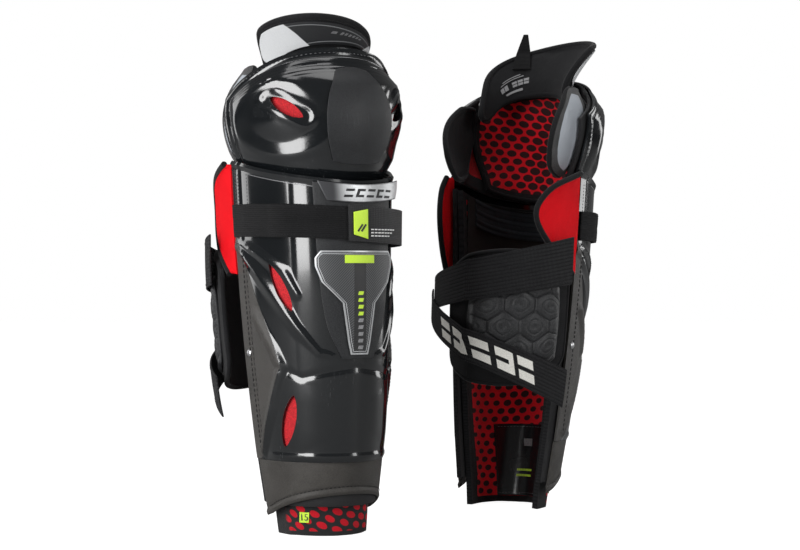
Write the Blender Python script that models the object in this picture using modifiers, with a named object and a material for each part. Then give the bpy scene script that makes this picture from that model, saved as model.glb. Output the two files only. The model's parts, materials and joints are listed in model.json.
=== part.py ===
"""A pair of ice hockey shin guards, each an assembly of separate shells, pads, wings and straps.

Guard a stands with its front half turned to the viewer and guard b stands turned round, so that its inside shows.
Each guard is laid out in its own frame: +Z runs up the shin, -Y is the front and -X is the side that carries
the calf wrap. Every piece is a panel wrapped on one of three leg forms (shin, knee and calf), held off that form
by the thickness of what lies under it. Millimetres and degrees are used for the design values, metres in Blender.
"""

import math

import bmesh
import bpy
from mathutils import Matrix, Vector

MM = 0.001

# Driving dimensions. Heights are above the floor; those of the knee and the upper shin hang on SHIN_LENGTH.
SHIN_LENGTH = 338  # up to the dip in the front of the shin cap's upper edge
LEG_HALF = 72  # half the width of the leg form where the front strap goes round it

# A station is (height, half width, depth in front, depth behind).
SHIN_STATIONS = [
    (-10, LEG_HALF - 22, 51, 99),
    (30, LEG_HALF - 19, 56, 104),
    (85, LEG_HALF - 13, 66, 110),
    (SHIN_LENGTH - 178, LEG_HALF - 7, 76, 114),
    (SHIN_LENGTH - 108, LEG_HALF - 3, 83, 116),
    (SHIN_LENGTH - 38, LEG_HALF, 86, 116),
    (SHIN_LENGTH + 32, LEG_HALF + 3, 86, 116),
]
KNEE_STATIONS = [
    (SHIN_LENGTH - 18, LEG_HALF - 9, 70, 108),
    (SHIN_LENGTH + 12, LEG_HALF - 5, 77, 112),
    (SHIN_LENGTH + 42, LEG_HALF + 7, 85, 114),
    (SHIN_LENGTH + 67, LEG_HALF + 12, 86, 114),
    (SHIN_LENGTH + 92, LEG_HALF + 9, 79, 110),
    (SHIN_LENGTH + 112, LEG_HALF + 1, 66, 100),
    (SHIN_LENGTH + 162, LEG_HALF - 8, 58, 90),
]
CALF_STATIONS = [
    (60, LEG_HALF - 12, 60, 90),
    (130, LEG_HALF, 74, 102),
    (220, LEG_HALF + 6, 80, 110),
    (320, LEG_HALF + 6, 80, 108),
]
CALF_SQUARENESS = {-1: 0.80, 1: 1.30}  # slack on the hinge side, drawn tight on the other
SIDE_LEAN = [(0, 0), (150, -8), (250, -13), (340, -16), (490, -17)]
FRONT_LEAN = [(0, 0), (490, -6)]

GAP = 0.8  # between pieces that touch
SHELL = 2.6  # wall of the moulded caps
PLATE = 1.4  # wall of the matte plates laid on the caps
FOAM = 6.0  # red foam under the caps
LINER = 7.0  # quilted liner inside the foam
KNEE_FOAM = 4.0
KNEE_LINER = 5.0
DOMED = 1.3  # how much more room a layer needs under the knee's slopes than its own thickness
STRAP = 1.8
SLING = 2.0
SPINE_RISE = 2.6  # the shin cap's front stands this far off its sides
ON_PLATE = SPINE_RISE + SHELL + PLATE + 2.6 * GAP
BADGE = 1.2
WING = 5.0

SHIN_TOP_SIDE = SHIN_LENGTH + 22
UPPER_BLADE = (38, 168)  # how far below SHIN_LENGTH the blade starts and ends
LOWER_FIN_TOP = 172
SPINE_DROP = 166  # below SHIN_LENGTH
BADGE_DROP = 162
BADGE_HEIGHT = 98
PLAQUE_HEIGHT = 16
WING_LENGTH = 106
CUFF_TOP = 74
CUFF_BOTTOM = 18
KNEE_TOP_FRONT = SHIN_LENGTH + 128
KNEE_TOP_SIDE = SHIN_LENGTH + 82
KNEE_BOTTOM_FRONT = SHIN_LENGTH - 8
KNEE_BOTTOM_SIDE = SHIN_LENGTH + 12
KNEE_RISE = 3.0  # the knee cap's face stands this far off its rim and its two side bowls
STRAP_WIDTH = 31
CALF_WRAP_LOW, CALF_WRAP_HIGH = 138, 276
CALF_WRAP_WALL = 4.0
CALF_PAD_WALL = 5.0

# A vent is its angle and height on the form, its lean, length and width; the other side mirrors it.
UPPER_VENT = (56, SHIN_LENGTH - 102, -30, 46, 13)
LOWER_VENT = (55, 112, 14, 48, 15)
KNEE_VENT = (40, SHIN_LENGTH + 71, -58, 40, 13)

# The thigh flap is highest a little to the outer side and flares out as it rises.
FLAP_TOP = {"a": SHIN_LENGTH + 158, "b": SHIN_LENGTH + 168}  # guard b's flap is drawn up further
FLAP = 5.0
FLAP_FROM, FLAP_PEAK, FLAP_TO = -86, -24, 96
FLAP_FORM = SHIN_LENGTH + 104
FLAP_FLARE = [
    (SHIN_LENGTH + 42, -32),
    (SHIN_LENGTH + 108, -31),
    (SHIN_LENGTH + 128, -24),
    (SHIN_LENGTH + 162, 0),
]

# Half angles round the leg from the middle of the front.
SHELL_HALF = 97
PAD_HALF = 104
KNEE_HALF = 98
SPINE_HALF = 46
LINER_OUTER = 84  # the knee liner ends here and a wing carries on
LINER_INNER = 76

# Joint axes in one guard's frame.
KNEE_AXIS = (0, 6, SHIN_LENGTH + 14)
FLAP_AXIS = (-15, -34, SHIN_LENGTH + 108)
CALF_AXIS_ANGLE = -103
TAB_AXIS_ANGLE = 88

# Where the two guards stand: x, y and the turn about the vertical.
GUARDS = {"a": (-89.5, -103.5, 31), "b": (102.5, 118.5, 150)}

COLOURS = {
    "gloss_black": ((0.012, 0.013, 0.014), 0.16, 0.0),
    "matte_black": ((0.030, 0.030, 0.031), 0.62, 0.0),
    "graphite": ((0.055, 0.052, 0.048), 0.66, 0.0),
    "red_foam": ((0.62, 0.012, 0.020), 0.80, 0.0),
    "red_cloth": ((0.86, 0.016, 0.030), 0.70, 0.0),
    "grey_cloth": ((0.56, 0.58, 0.60), 0.55, 0.0),
    "black_cloth": ((0.010, 0.010, 0.011), 0.92, 0.0),
    "webbing": ((0.014, 0.014, 0.014), 0.88, 0.0),
    "silver": ((0.52, 0.53, 0.54), 0.34, 0.4),
    "lime": ((0.60, 0.85, 0.04), 0.50, 0.0),
    "steel": ((0.45, 0.45, 0.46), 0.30, 1.0),
}


def material(name):
    """The named finish, made once."""
    if name in bpy.data.materials:
        return bpy.data.materials[name]
    colour, roughness, metallic = COLOURS[name]
    made = bpy.data.materials.new(name)
    made.use_nodes = True
    shader = made.node_tree.nodes["Principled BSDF"]
    shader.inputs["Base Color"].default_value = (*colour, 1.0)
    shader.inputs["Roughness"].default_value = roughness
    shader.inputs["Metallic"].default_value = metallic
    return made


def through(points, at):
    """The value at `at` on a smooth curve through (place, value) points, held level past both ends."""
    if at <= points[0][0]:
        return points[0][1]
    if at >= points[-1][0]:
        return points[-1][1]
    i = max(k for k in range(len(points) - 1) if points[k][0] <= at)
    (x0, y0), (x1, y1) = points[i], points[i + 1]
    before = points[i - 1] if i > 0 else points[i]
    after = points[i + 2] if i + 2 < len(points) else points[i + 1]
    slope0 = (y1 - before[1]) / (x1 - before[0])
    slope1 = (after[1] - y0) / (after[0] - x0)
    s, span = (at - x0) / (x1 - x0), x1 - x0
    return (
        (2 * s**3 - 3 * s**2 + 1) * y0
        + (s**3 - 2 * s**2 + s) * span * slope0
        + (3 * s**2 - 2 * s**3) * y1
        + (s**3 - s**2) * span * slope1
    )


def station(stations, height, column):
    return through([(row[0], row[column]) for row in stations], height)


def on_form(stations, angle, height, lift, squareness=None):
    """The point at an angle round a leg form and a height on it, lifted off the form, in metres."""
    half_width = station(stations, height, 1) + lift
    turn = math.radians(angle)
    across, along = math.sin(turn), -math.cos(turn)
    depth = station(stations, height, 3 if along > 0 else 2) + lift
    if squareness and along > 0:
        power = squareness[-1 if across < 0 else 1]
        across = math.copysign(abs(across) ** power, across)
        along = along**power
    x = through(SIDE_LEAN, height) + half_width * across
    y = through(FRONT_LEAN, height) + depth * along
    return Vector((x, y, height)) * MM


def mix(low, high, share):
    return low + (high - low) * share


def in_guard(name, mesh_data, finish, parent):
    """A named object on the guard's mesh data, with its origin on its parent's axis."""
    piece = bpy.data.objects.new(name, mesh_data)
    OBJECTS.objects.link(piece)
    piece.data.materials.append(material(finish))
    mesh_data.transform(Matrix.Translation(-parent["local"].to_3d()))
    piece.parent = parent["empty"]
    return piece


def panel(name, parent, finish, place, columns, rows, wall):
    """A panel from a grid whose corners run 0 to 1 across and up: `place` puts each point on a leg form."""
    mesh = bmesh.new()
    bmesh.ops.create_grid(mesh, x_segments=columns, y_segments=rows, size=0.5)
    for vertex in mesh.verts:
        vertex.co = place(vertex.co.x + 0.5, vertex.co.y + 0.5)
    data = bpy.data.meshes.new(name)
    mesh.to_mesh(data)
    mesh.free()
    data.shade_smooth()
    piece = in_guard(name, data, finish, parent)
    solid = piece.modifiers.new("wall", "SOLIDIFY")
    solid.thickness = wall * MM
    solid.offset = 1.0
    solid.use_even_offset = True
    return piece


def cut(piece, cutter):
    """Takes the cutter out of the piece."""
    take = piece.modifiers.new("vent", "BOOLEAN")
    take.operation = "DIFFERENCE"
    take.solver = "EXACT"
    take.object = cutter


def as_cutter(name, mesh, parent):
    """A hidden wire object that only takes material away."""
    data = bpy.data.meshes.new(name)
    mesh.to_mesh(data)
    mesh.free()
    cutter = bpy.data.objects.new(name, data)
    CUTTERS.objects.link(cutter)
    data.transform(Matrix.Translation(-parent["local"].to_3d()))
    cutter.parent = parent["empty"]
    cutter.hide_render = True
    cutter.display_type = "WIRE"
    return cutter


def slot_cutter(name, parent, stations, vent, side, reach=30):
    """A pointed slot through a wall, lying on the form and leaning over as the vent says."""
    angle, height, lean, length, width = vent
    angle, lean = side * angle, side * lean
    middle = on_form(stations, angle, height, 0)
    outward = on_form(stations, angle, height, 10) - middle
    outward.normalize()
    up = Vector((0, 0, 1))
    aside = up.cross(outward).normalized()
    mesh = bmesh.new()
    ring = []
    for k in range(8):
        turn = 2 * math.pi * k / 8
        x = width / 2 * math.sin(turn) * abs(math.sin(turn)) ** 0.3
        z = length / 2 * math.cos(turn)
        tilt = math.radians(lean)
        across = x * math.cos(tilt) - z * math.sin(tilt)
        rise = x * math.sin(tilt) + z * math.cos(tilt)
        offset = aside * across + up * rise - outward * reach / 4
        ring.append(mesh.verts.new(middle + offset * MM))
    face = mesh.faces.new(ring)
    pushed = bmesh.ops.extrude_face_region(mesh, geom=[face])
    moved = [g for g in pushed["geom"] if isinstance(g, bmesh.types.BMVert)]
    bmesh.ops.translate(mesh, verts=moved, vec=outward * reach * MM)
    bmesh.ops.recalc_face_normals(mesh, faces=mesh.faces)
    return as_cutter(name, mesh, parent)


def floor_cutter(name, parent):
    """A block under the guard, which trims a piece flat where the guard stands."""
    mesh = bmesh.new()
    bmesh.ops.create_cube(mesh, size=1.0)
    bmesh.ops.transform(mesh, matrix=Matrix.Diagonal((0.4, 0.4, 0.04, 1)), verts=mesh.verts)
    bmesh.ops.translate(mesh, verts=mesh.verts, vec=(0, 0, -0.02))
    return as_cutter(name, mesh, parent)


# Outlines that several pieces share.


def knee_top(angle):
    return mix(KNEE_TOP_FRONT, KNEE_TOP_SIDE, abs(angle / KNEE_HALF) ** 2.4)


def knee_bottom(angle):
    return mix(KNEE_BOTTOM_FRONT, KNEE_BOTTOM_SIDE, abs(angle / KNEE_HALF) ** 2.0)


def shin_top(angle):
    """The height of the shin cap's upper edge, which dips in front to let the knee cap bend."""
    return mix(SHIN_LENGTH, SHIN_TOP_SIDE, min(1.0, abs(angle / SHELL_HALF)) ** 1.6)


def strap_middle(angle):
    return SHIN_LENGTH - 39 - 4 * math.sin(math.radians(angle))


def strap_lift(angle):
    """The front strap lies on the cap at the sides and rides over the spine plate in front."""
    over = max(0.0, min(1.0, (62 - abs(angle)) / 14))
    return SHELL + 3.2 * GAP + over * (SPINE_RISE + PLATE)


def ridge_lift(angle, height):
    """How far the shin cap's face stands off: a raised blade and a lower fin run down each side to the spine."""
    side = abs(angle)
    down = SHIN_LENGTH - height
    start, end = UPPER_BLADE
    blade = mix(86, 34, (down - start) / (end - start))
    fin = mix(60, 88, (LOWER_FIN_TOP - height) / (LOWER_FIN_TOP - CUFF_TOP))
    lift = 0.0
    if start < down < end + 20:
        lift = 5.0 * max(0.0, 1 - abs(side - blade) / 14) * min(1.0, (down - start) / 40)
    if CUFF_TOP < height <= LOWER_FIN_TOP:
        lift = max(lift, 4.0 * max(0.0, 1 - abs(side - fin) / 20) * min(1.0, (height - CUFF_TOP) / 18))
    spine = SPINE_RISE * max(0.0, 1 - side / SPINE_HALF) ** 0.5
    border = 1.6 if side > SHELL_HALF - 7 else 0.0
    return max(lift, spine, border)


def knee_relief(angle, height):
    """How far the knee cap's face stands off: level but for its rim and the bowl round each vent."""
    from_top, from_bottom = knee_top(angle) - height, height - knee_bottom(angle)
    edge = min(1.0, (KNEE_HALF - abs(angle)) / 12, from_top / 14, from_bottom / 18)
    bowl = 1 - ((abs(angle) - 50) / 27) ** 2 - ((height - SHIN_LENGTH - 62) / 28) ** 2
    return KNEE_RISE * max(0.0, edge) * (1 - min(1.0, max(0.0, 2 * bowl)))


def shin_pieces(guard, root):
    """The shin cap and what is fixed to it or lies under it."""

    def cap(across, up):
        angle = mix(-SHELL_HALF, SHELL_HALF, across)
        height = mix(CUFF_TOP, shin_top(angle), up)
        return on_form(SHIN_STATIONS, angle, height, ridge_lift(angle, height))

    shell = panel(f"{guard}_shin_cap", root, "gloss_black", cap, 16, 12, SHELL)
    for side in (-1, 1):
        cut(shell, slot_cutter(f"{guard}_upper_vent_{side}", root, SHIN_STATIONS, UPPER_VENT, side))
        cut(shell, slot_cutter(f"{guard}_lower_vent_{side}", root, SHIN_STATIONS, LOWER_VENT, side))

    def cuff(across, up):
        angle = mix(-SHELL_HALF, SHELL_HALF, across)
        bottom = CUFF_BOTTOM + 24 * max(0.0, 1 - (angle / SHELL_HALF) ** 2)
        return on_form(SHIN_STATIONS, angle, mix(bottom, CUFF_TOP - GAP, up), 0.0)

    panel(f"{guard}_ankle_cuff", root, "graphite", cuff, 14, 3, SHELL)

    def spine(across, up):
        half = through([(0, 16), (0.2, 34), (0.55, 40), (1, 44)], up)
        angle = mix(-half, half, across)
        height = mix(SHIN_LENGTH - SPINE_DROP, shin_top(angle) - 1, up)
        return on_form(SHIN_STATIONS, angle, height, SPINE_RISE + SHELL + 1.3 * GAP)

    panel(f"{guard}_spine_plate", root, "matte_black", spine, 8, 7, PLATE)

    def badge(across, up):
        half = through([(0, 9.5), (0.45, 14), (0.72, 28), (0.84, 29), (1, 23)], up)
        height = SHIN_LENGTH - BADGE_DROP + up * BADGE_HEIGHT
        return on_form(SHIN_STATIONS, mix(-half, half, across), height, ON_PLATE)

    panel(f"{guard}_shield_badge", root, "silver", badge, 4, 8, BADGE)

    def plaque(across, up):
        angle = mix(mix(-22, -28, up), mix(38, 42, up), across)
        return on_form(SHIN_STATIONS, angle, shin_top(angle) - 2 - PLAQUE_HEIGHT * (1 - up), ON_PLATE)

    panel(f"{guard}_brow_plaque", root, "silver", plaque, 5, 1, BADGE)

    def foam(across, up):
        angle = mix(-PAD_HALF, PAD_HALF, across)
        return on_form(SHIN_STATIONS, angle, mix(30, knee_bottom(angle) - 7, up), -GAP - FOAM)

    panel(f"{guard}_shin_foam", root, "red_foam", foam, 12, 6, FOAM)

    def liner(across, up):
        half = mix(PAD_HALF - 6, PAD_HALF + 2, up)
        angle = mix(-half, half, across)
        return on_form(SHIN_STATIONS, angle, mix(-3, knee_bottom(angle) - 9, up), -2.6 * GAP - FOAM - LINER)

    lined = panel(f"{guard}_shin_liner", root, "red_cloth", liner, 12, 6, LINER)
    cut(lined, floor_cutter(f"{guard}_liner_trim", root))

    def scuff_patch(across, up):
        half = mix(46, 56, up)
        lift = -3.6 * GAP - FOAM - LINER - BADGE
        return on_form(SHIN_STATIONS, mix(-half, half, across), mix(8, 86, up), lift)

    panel(f"{guard}_skate_scuff_patch", root, "gloss_black", scuff_patch, 6, 2, BADGE)

    for word, side in (("outer", -1), ("inner", 1)):

        def red_wing(across, up, side=side):
            reach = through([(0, 5), (0.45, 33), (0.75, 34), (1, 8)], up) * (1 if side < 0 else 0.4)
            near = SHELL_HALF + 1.2
            away = across if side > 0 else 1 - across
            height = SHIN_LENGTH + 20 - WING_LENGTH * (1 - up)
            return on_form(SHIN_STATIONS, side * (near + reach * away), height, 0.5 + 5 * away)

        panel(f"{guard}_{word}_red_wing", root, "red_cloth", red_wing, 4, 5, WING)

    def sling(across, up):
        angle = mix(-90, 90, across)
        top = knee_bottom(angle) - 12
        return on_form(SHIN_STATIONS, angle, mix(top - 30, top, up), -4 * GAP - FOAM - LINER - SLING)

    panel(f"{guard}_knee_sling", root, "webbing", sling, 12, 1, SLING)

    def front_strap(across, up):
        angle = mix(-96, 84, across)
        return on_form(SHIN_STATIONS, angle, strap_middle(angle) + (up - 0.5) * STRAP_WIDTH, strap_lift(angle))

    panel(f"{guard}_front_strap", root, "webbing", front_strap, 16, 1, STRAP)

    rivet = bmesh.new()
    bmesh.ops.create_cone(rivet, cap_ends=True, segments=10, radius1=4 * MM, radius2=3 * MM, depth=1.6 * MM)
    spot = on_form(SHIN_STATIONS, -92, 176, SHELL + 1.6 + 1.6)
    face = Vector((-1, 0, 0)).to_track_quat("Z", "Y").to_matrix().to_4x4()
    bmesh.ops.transform(rivet, matrix=Matrix.Translation(spot) @ face, verts=rivet.verts)
    data = bpy.data.meshes.new(f"{guard}_side_rivet")
    rivet.to_mesh(data)
    rivet.free()
    in_guard(f"{guard}_side_rivet", data, "steel", root)


def knee_pieces(guard, knee):
    """The knee cap, its foam and liner, and the two wings that wrap the knee."""

    def cap(across, up):
        angle = mix(-KNEE_HALF, KNEE_HALF, across)
        height = mix(knee_bottom(angle), knee_top(angle), up)
        return on_form(KNEE_STATIONS, angle, height, knee_relief(angle, height))

    shell = panel(f"{guard}_knee_cap", knee, "gloss_black", cap, 24, 9, SHELL)
    for side in (-1, 1):
        cut(shell, slot_cutter(f"{guard}_knee_vent_{side}", knee, KNEE_STATIONS, KNEE_VENT, side))

    def face(across, up):
        half = through([(0, 24), (0.3, 28), (0.7, 25), (1, 14)], up)
        angle = mix(-half, half, across)
        height = mix(SHIN_LENGTH + 18, SHIN_LENGTH + 108, up)
        return on_form(KNEE_STATIONS, angle, height, KNEE_RISE + SHELL + 2.4 * GAP)

    panel(f"{guard}_knee_face_plate", knee, "matte_black", face, 6, 7, PLATE)

    def foam(across, up):
        angle = mix(-KNEE_HALF - 3, KNEE_HALF + 3, across)
        height = mix(knee_bottom(angle), knee_top(angle), up)
        return on_form(KNEE_STATIONS, angle, height, -1.5 * GAP - DOMED * KNEE_FOAM)

    panel(f"{guard}_knee_foam", knee, "red_foam", foam, 24, 5, KNEE_FOAM)

    inside = -3 * GAP - DOMED * (KNEE_FOAM + KNEE_LINER)

    def liner(across, up):
        angle = mix(-LINER_OUTER, LINER_INNER, across)
        low, high = knee_bottom(angle) + 2, knee_top(angle) - 12
        return on_form(KNEE_STATIONS, angle, mix(low, high, up), inside)

    panel(f"{guard}_knee_liner", knee, "red_cloth", liner, 16, 6, KNEE_LINER)

    for word, side, near, reach, low, high in (
        ("outer", -1, LINER_OUTER + 1.5, 36, SHIN_LENGTH - 8, SHIN_LENGTH + 112),
        ("inner", 1, LINER_INNER + 1.5, 50, SHIN_LENGTH - 16, SHIN_LENGTH + 96),
    ):

        def wing(across, up, side=side, near=near, reach=reach, low=low, high=high):
            away = across if side > 0 else 1 - across
            angle = near + away * reach * through([(0, 0.5), (0.4, 1), (0.7, 0.95), (1, 0.4)], up)
            bottom = max(low, SHIN_LENGTH + 10 - (angle - 108) * 1.7)
            flare = 6 * max(0.0, (angle - 104) / 30)
            return on_form(KNEE_STATIONS, side * angle, mix(bottom, high, up), inside + flare)

        finish = "grey_cloth" if side < 0 else "black_cloth"
        panel(f"{guard}_{word}_knee_wing", knee, finish, wing, 6, 6, KNEE_LINER)


def flap_pieces(guard, flap):
    """The thigh flap that stands above the knee cap, its stiff facing and its pull tab."""

    peak = FLAP_TOP[guard]

    def flap_at(inset, lift):
        def place(across, up):
            narrow = through([(0, 14), (0.45, 0), (0.8, 2), (1, 10)], up) + inset
            angle = mix(FLAP_FROM + narrow, FLAP_TO - narrow, across)
            top = peak - inset - 44 * ((angle - FLAP_PEAK) / 100) ** 2
            low = knee_top(angle) + (5 if inset else -16)
            height = mix(low, top, up)
            point = on_form(KNEE_STATIONS, angle, FLAP_FORM, through(FLAP_FLARE, height) + lift)
            return Vector((point.x, point.y, height * MM))

        return place

    panel(f"{guard}_thigh_flap", flap, "black_cloth", flap_at(0, 0), 14, 6, FLAP)
    panel(f"{guard}_flap_facing", flap, "grey_cloth", flap_at(5, 1.3 * FLAP + GAP), 14, 3, BADGE)

    def pull_tab(across, up):
        angle = mix(16, 36, across * (1 - 0.8 * up) + 0.2 * up)
        height = mix(peak - 26, peak + 14, up)
        point = on_form(KNEE_STATIONS, angle, FLAP_FORM, through(FLAP_FLARE, min(height, peak)) - GAP - 1.4 * STRAP)
        return Vector((point.x, point.y, height * MM))

    if guard == "b":
        panel(f"{guard}_flap_pull_tab", flap, "webbing", pull_tab, 2, 4, STRAP)


def calf_pieces(guard, calf):
    """The hinged calf wrap: a fabric wing, its moulded pad and the strap that goes round it and back."""

    def calf_at(low_angle, high_angle, low, high, lift):
        def place(across, up):
            angle = mix(high_angle, low_angle, across)
            reach = math.sin(math.pi * across) ** 0.5 if 0 < across < 1 else 0.0
            middle = (low + high) / 2
            height = mix(middle, mix(low, high, up), 0.62 + 0.38 * reach)
            return on_form(CALF_STATIONS, angle, height, lift, CALF_SQUARENESS)

        return place

    wrap = calf_at(-106, -206, CALF_WRAP_LOW, CALF_WRAP_HIGH, 0)
    panel(f"{guard}_calf_wrap", calf, "black_cloth", wrap, 10, 5, CALF_WRAP_WALL)
    pad = calf_at(-114, -180, CALF_WRAP_LOW + 12, CALF_WRAP_HIGH - 24, CALF_WRAP_WALL + 1.5 * GAP)
    panel(f"{guard}_calf_pad", calf, "matte_black", pad, 6, 4, CALF_PAD_WALL)

    def run(start, end, width, lift):
        """A strap from (angle, height) to (angle, height) behind the calf."""

        def place(across, up):
            angle = mix(end[0], start[0], across)
            height = mix(end[1], start[1], across) + (up - 0.5) * width * mix(0.7, 1, across)
            return on_form(CALF_STATIONS, angle, height, lift, CALF_SQUARENESS)

        return place

    over_pad = CALF_WRAP_WALL + CALF_PAD_WALL + 2.5 * GAP
    upper = run((-108, CALF_WRAP_HIGH - 10), (-244, CALF_WRAP_HIGH - 48), 50, over_pad)
    panel(f"{guard}_upper_calf_strap", calf, "webbing", upper, 16, 1, STRAP)
    lower = run((-108, CALF_WRAP_LOW - 6), (-244, CALF_WRAP_LOW + 84), 40, over_pad + STRAP + 1.5 * GAP)
    panel(f"{guard}_lower_calf_strap", calf, "webbing", lower, 16, 1, STRAP)


def tab_pieces(guard, tab):
    """The hook-tape end of the front strap, which peels off from the inner side."""

    def strap_end(across, up):
        angle = mix(-9, 86, across)
        height = strap_middle(angle) + (up - 0.5) * (STRAP_WIDTH + 3)
        return on_form(SHIN_STATIONS, angle, height, strap_lift(angle) + STRAP + GAP)

    panel(f"{guard}_strap_end", tab, "webbing", strap_end, 10, 1, STRAP)

    def label(across, up):
        angle = mix(-6, 4, across)
        height = strap_middle(angle) + (up - 0.5) * mix(STRAP_WIDTH - 10, STRAP_WIDTH - 3, across)
        return on_form(SHIN_STATIONS, angle, height, strap_lift(angle) + 2 * STRAP + 2 * GAP)

    panel(f"{guard}_strap_label", tab, "lime", label, 2, 1, 0.8)


def joint_frame(guard, word, local, root):
    """An empty on a joint's axis, carrying the pieces that turn about it."""
    empty = bpy.data.objects.new(f"{guard}_{word}_axis", None)
    OBJECTS.objects.link(empty)
    empty.empty_display_size = 0.02
    empty.location = local
    empty.parent = root["empty"]
    return {"empty": empty, "local": Vector(local)}


def build_guard(guard, x, y, turn):
    stand = bpy.data.objects.new(f"{guard}_stand", None)
    OBJECTS.objects.link(stand)
    stand.location = Vector((x, y, 0)) * MM
    stand.rotation_euler = (0, 0, math.radians(turn))
    root = {"empty": stand, "local": Vector((0, 0, 0))}
    shin_pieces(guard, root)
    knee_pieces(guard, joint_frame(guard, "knee", Vector(KNEE_AXIS) * MM, root))
    flap_pieces(guard, joint_frame(guard, "flap", Vector(FLAP_AXIS) * MM, root))
    hinge = on_form(SHIN_STATIONS, CALF_AXIS_ANGLE, (CALF_WRAP_LOW + CALF_WRAP_HIGH) / 2, 0)
    calf_pieces(guard, joint_frame(guard, "calf", hinge, root))
    fold = on_form(SHIN_STATIONS, TAB_AXIS_ANGLE, strap_middle(TAB_AXIS_ANGLE), SHELL + 8)
    tab_pieces(guard, joint_frame(guard, "tab", fold, root))


for old in list(bpy.data.objects):
    bpy.data.objects.remove(old)
OBJECTS = bpy.data.collections.new("hockey_shin_guards")
CUTTERS = bpy.data.collections.new("cutters")
for holder in (OBJECTS, CUTTERS):
    bpy.context.scene.collection.children.link(holder)
CUTTERS.hide_render = True

for guard_name, (stand_x, stand_y, stand_turn) in GUARDS.items():
    build_guard(guard_name, stand_x, stand_y, stand_turn)
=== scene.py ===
"""A pair of ice hockey shin guards: their shells, liners, wings, straps and pads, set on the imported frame."""

import json
import math

import bpy
import numpy as np
from mathutils import Matrix, Vector
from mathutils.kdtree import KDTree


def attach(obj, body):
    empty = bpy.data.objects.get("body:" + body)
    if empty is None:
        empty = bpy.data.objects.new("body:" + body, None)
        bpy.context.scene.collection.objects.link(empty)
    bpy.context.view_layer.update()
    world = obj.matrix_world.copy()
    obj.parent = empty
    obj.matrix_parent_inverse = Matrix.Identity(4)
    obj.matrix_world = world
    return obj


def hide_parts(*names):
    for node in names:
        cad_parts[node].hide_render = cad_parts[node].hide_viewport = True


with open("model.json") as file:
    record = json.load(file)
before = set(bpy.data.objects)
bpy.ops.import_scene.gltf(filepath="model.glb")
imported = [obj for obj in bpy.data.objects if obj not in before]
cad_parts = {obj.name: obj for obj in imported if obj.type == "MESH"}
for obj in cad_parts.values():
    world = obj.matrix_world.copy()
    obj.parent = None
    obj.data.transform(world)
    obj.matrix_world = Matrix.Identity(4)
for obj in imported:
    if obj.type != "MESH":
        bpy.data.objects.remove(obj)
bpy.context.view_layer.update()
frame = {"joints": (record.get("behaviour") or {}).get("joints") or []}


# The liners. A brushed red knit is laid over soft foam and quilted, with black ovals printed on it in rows
# that shrink towards the ankle. The shin liner runs the whole length and its lower end shows below the
# shell.
MM = 0.001
SHIN_LENGTH = 338.0
LEG_HALF = 72.0
GAP = 0.8
FOAM = 6.0
LINER = 7.0
KNEE_FOAM = 4.0
KNEE_LINER = 5.0
DOMED = 1.3
SHELL_HALF = 97.0
PAD_HALF = 104.0
KNEE_HALF = 98.0
LINER_OUTER, LINER_INNER = 84.0, 76.0
LINER_SINK = -2.6 * GAP - FOAM - LINER
KNEE_SINK = -3 * GAP - DOMED * (KNEE_FOAM + KNEE_LINER)
OVAL_PITCH = (14.5, 9.0)

# The leg forms that the pieces wrap: height, half width, reach to the front and reach to the back, in mm. A
# guard's own frame has its front along -Y and its calf wrap on -X, and its knee hinge sets where it stands.
SHIN_FORM = np.array([
    (-10, LEG_HALF - 22, 51, 99),
    (30, LEG_HALF - 19, 56, 104),
    (85, LEG_HALF - 13, 66, 110),
    (SHIN_LENGTH - 178, LEG_HALF - 7, 76, 114),
    (SHIN_LENGTH - 108, LEG_HALF - 3, 83, 116),
    (SHIN_LENGTH - 38, LEG_HALF, 86, 116),
    (SHIN_LENGTH + 32, LEG_HALF + 3, 86, 116),
])
KNEE_FORM = np.array([
    (SHIN_LENGTH - 18, LEG_HALF - 9, 70, 108),
    (SHIN_LENGTH + 12, LEG_HALF - 5, 77, 112),
    (SHIN_LENGTH + 42, LEG_HALF + 7, 85, 114),
    (SHIN_LENGTH + 67, LEG_HALF + 12, 86, 114),
    (SHIN_LENGTH + 92, LEG_HALF + 9, 79, 110),
    (SHIN_LENGTH + 112, LEG_HALF + 1, 66, 100),
    (SHIN_LENGTH + 162, LEG_HALF - 8, 58, 90),
])
SIDE_LEAN = [(0, 0), (150, -8), (250, -13), (340, -16), (490, -17)]
FRONT_LEAN = [(0, 0), (490, -6)]
KNEE_HINGE = Vector((0, 6, SHIN_LENGTH + 14)) * MM


def through(points, at):
    """Values at `at` on a smooth curve through (place, value) points, held level past both ends."""
    points = np.asarray(points, dtype=float)
    at = np.clip(at, points[0, 0], points[-1, 0])
    i = np.clip(np.searchsorted(points[:, 0], at, side="right") - 1, 0, len(points) - 2)
    before = np.maximum(i - 1, 0)
    after = np.minimum(i + 2, len(points) - 1)
    x0, y0 = points[i, 0], points[i, 1]
    x1, y1 = points[i + 1, 0], points[i + 1, 1]
    slope0 = (y1 - points[before, 1]) / (x1 - points[before, 0])
    slope1 = (points[after, 1] - y0) / (points[after, 0] - x0)
    span = x1 - x0
    s = (at - x0) / span
    start = (2 * s**3 - 3 * s**2 + 1) * y0 + (s**3 - 2 * s**2 + s) * span * slope0
    return start + (3 * s**2 - 2 * s**3) * y1 + (s**3 - s**2) * span * slope1


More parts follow.
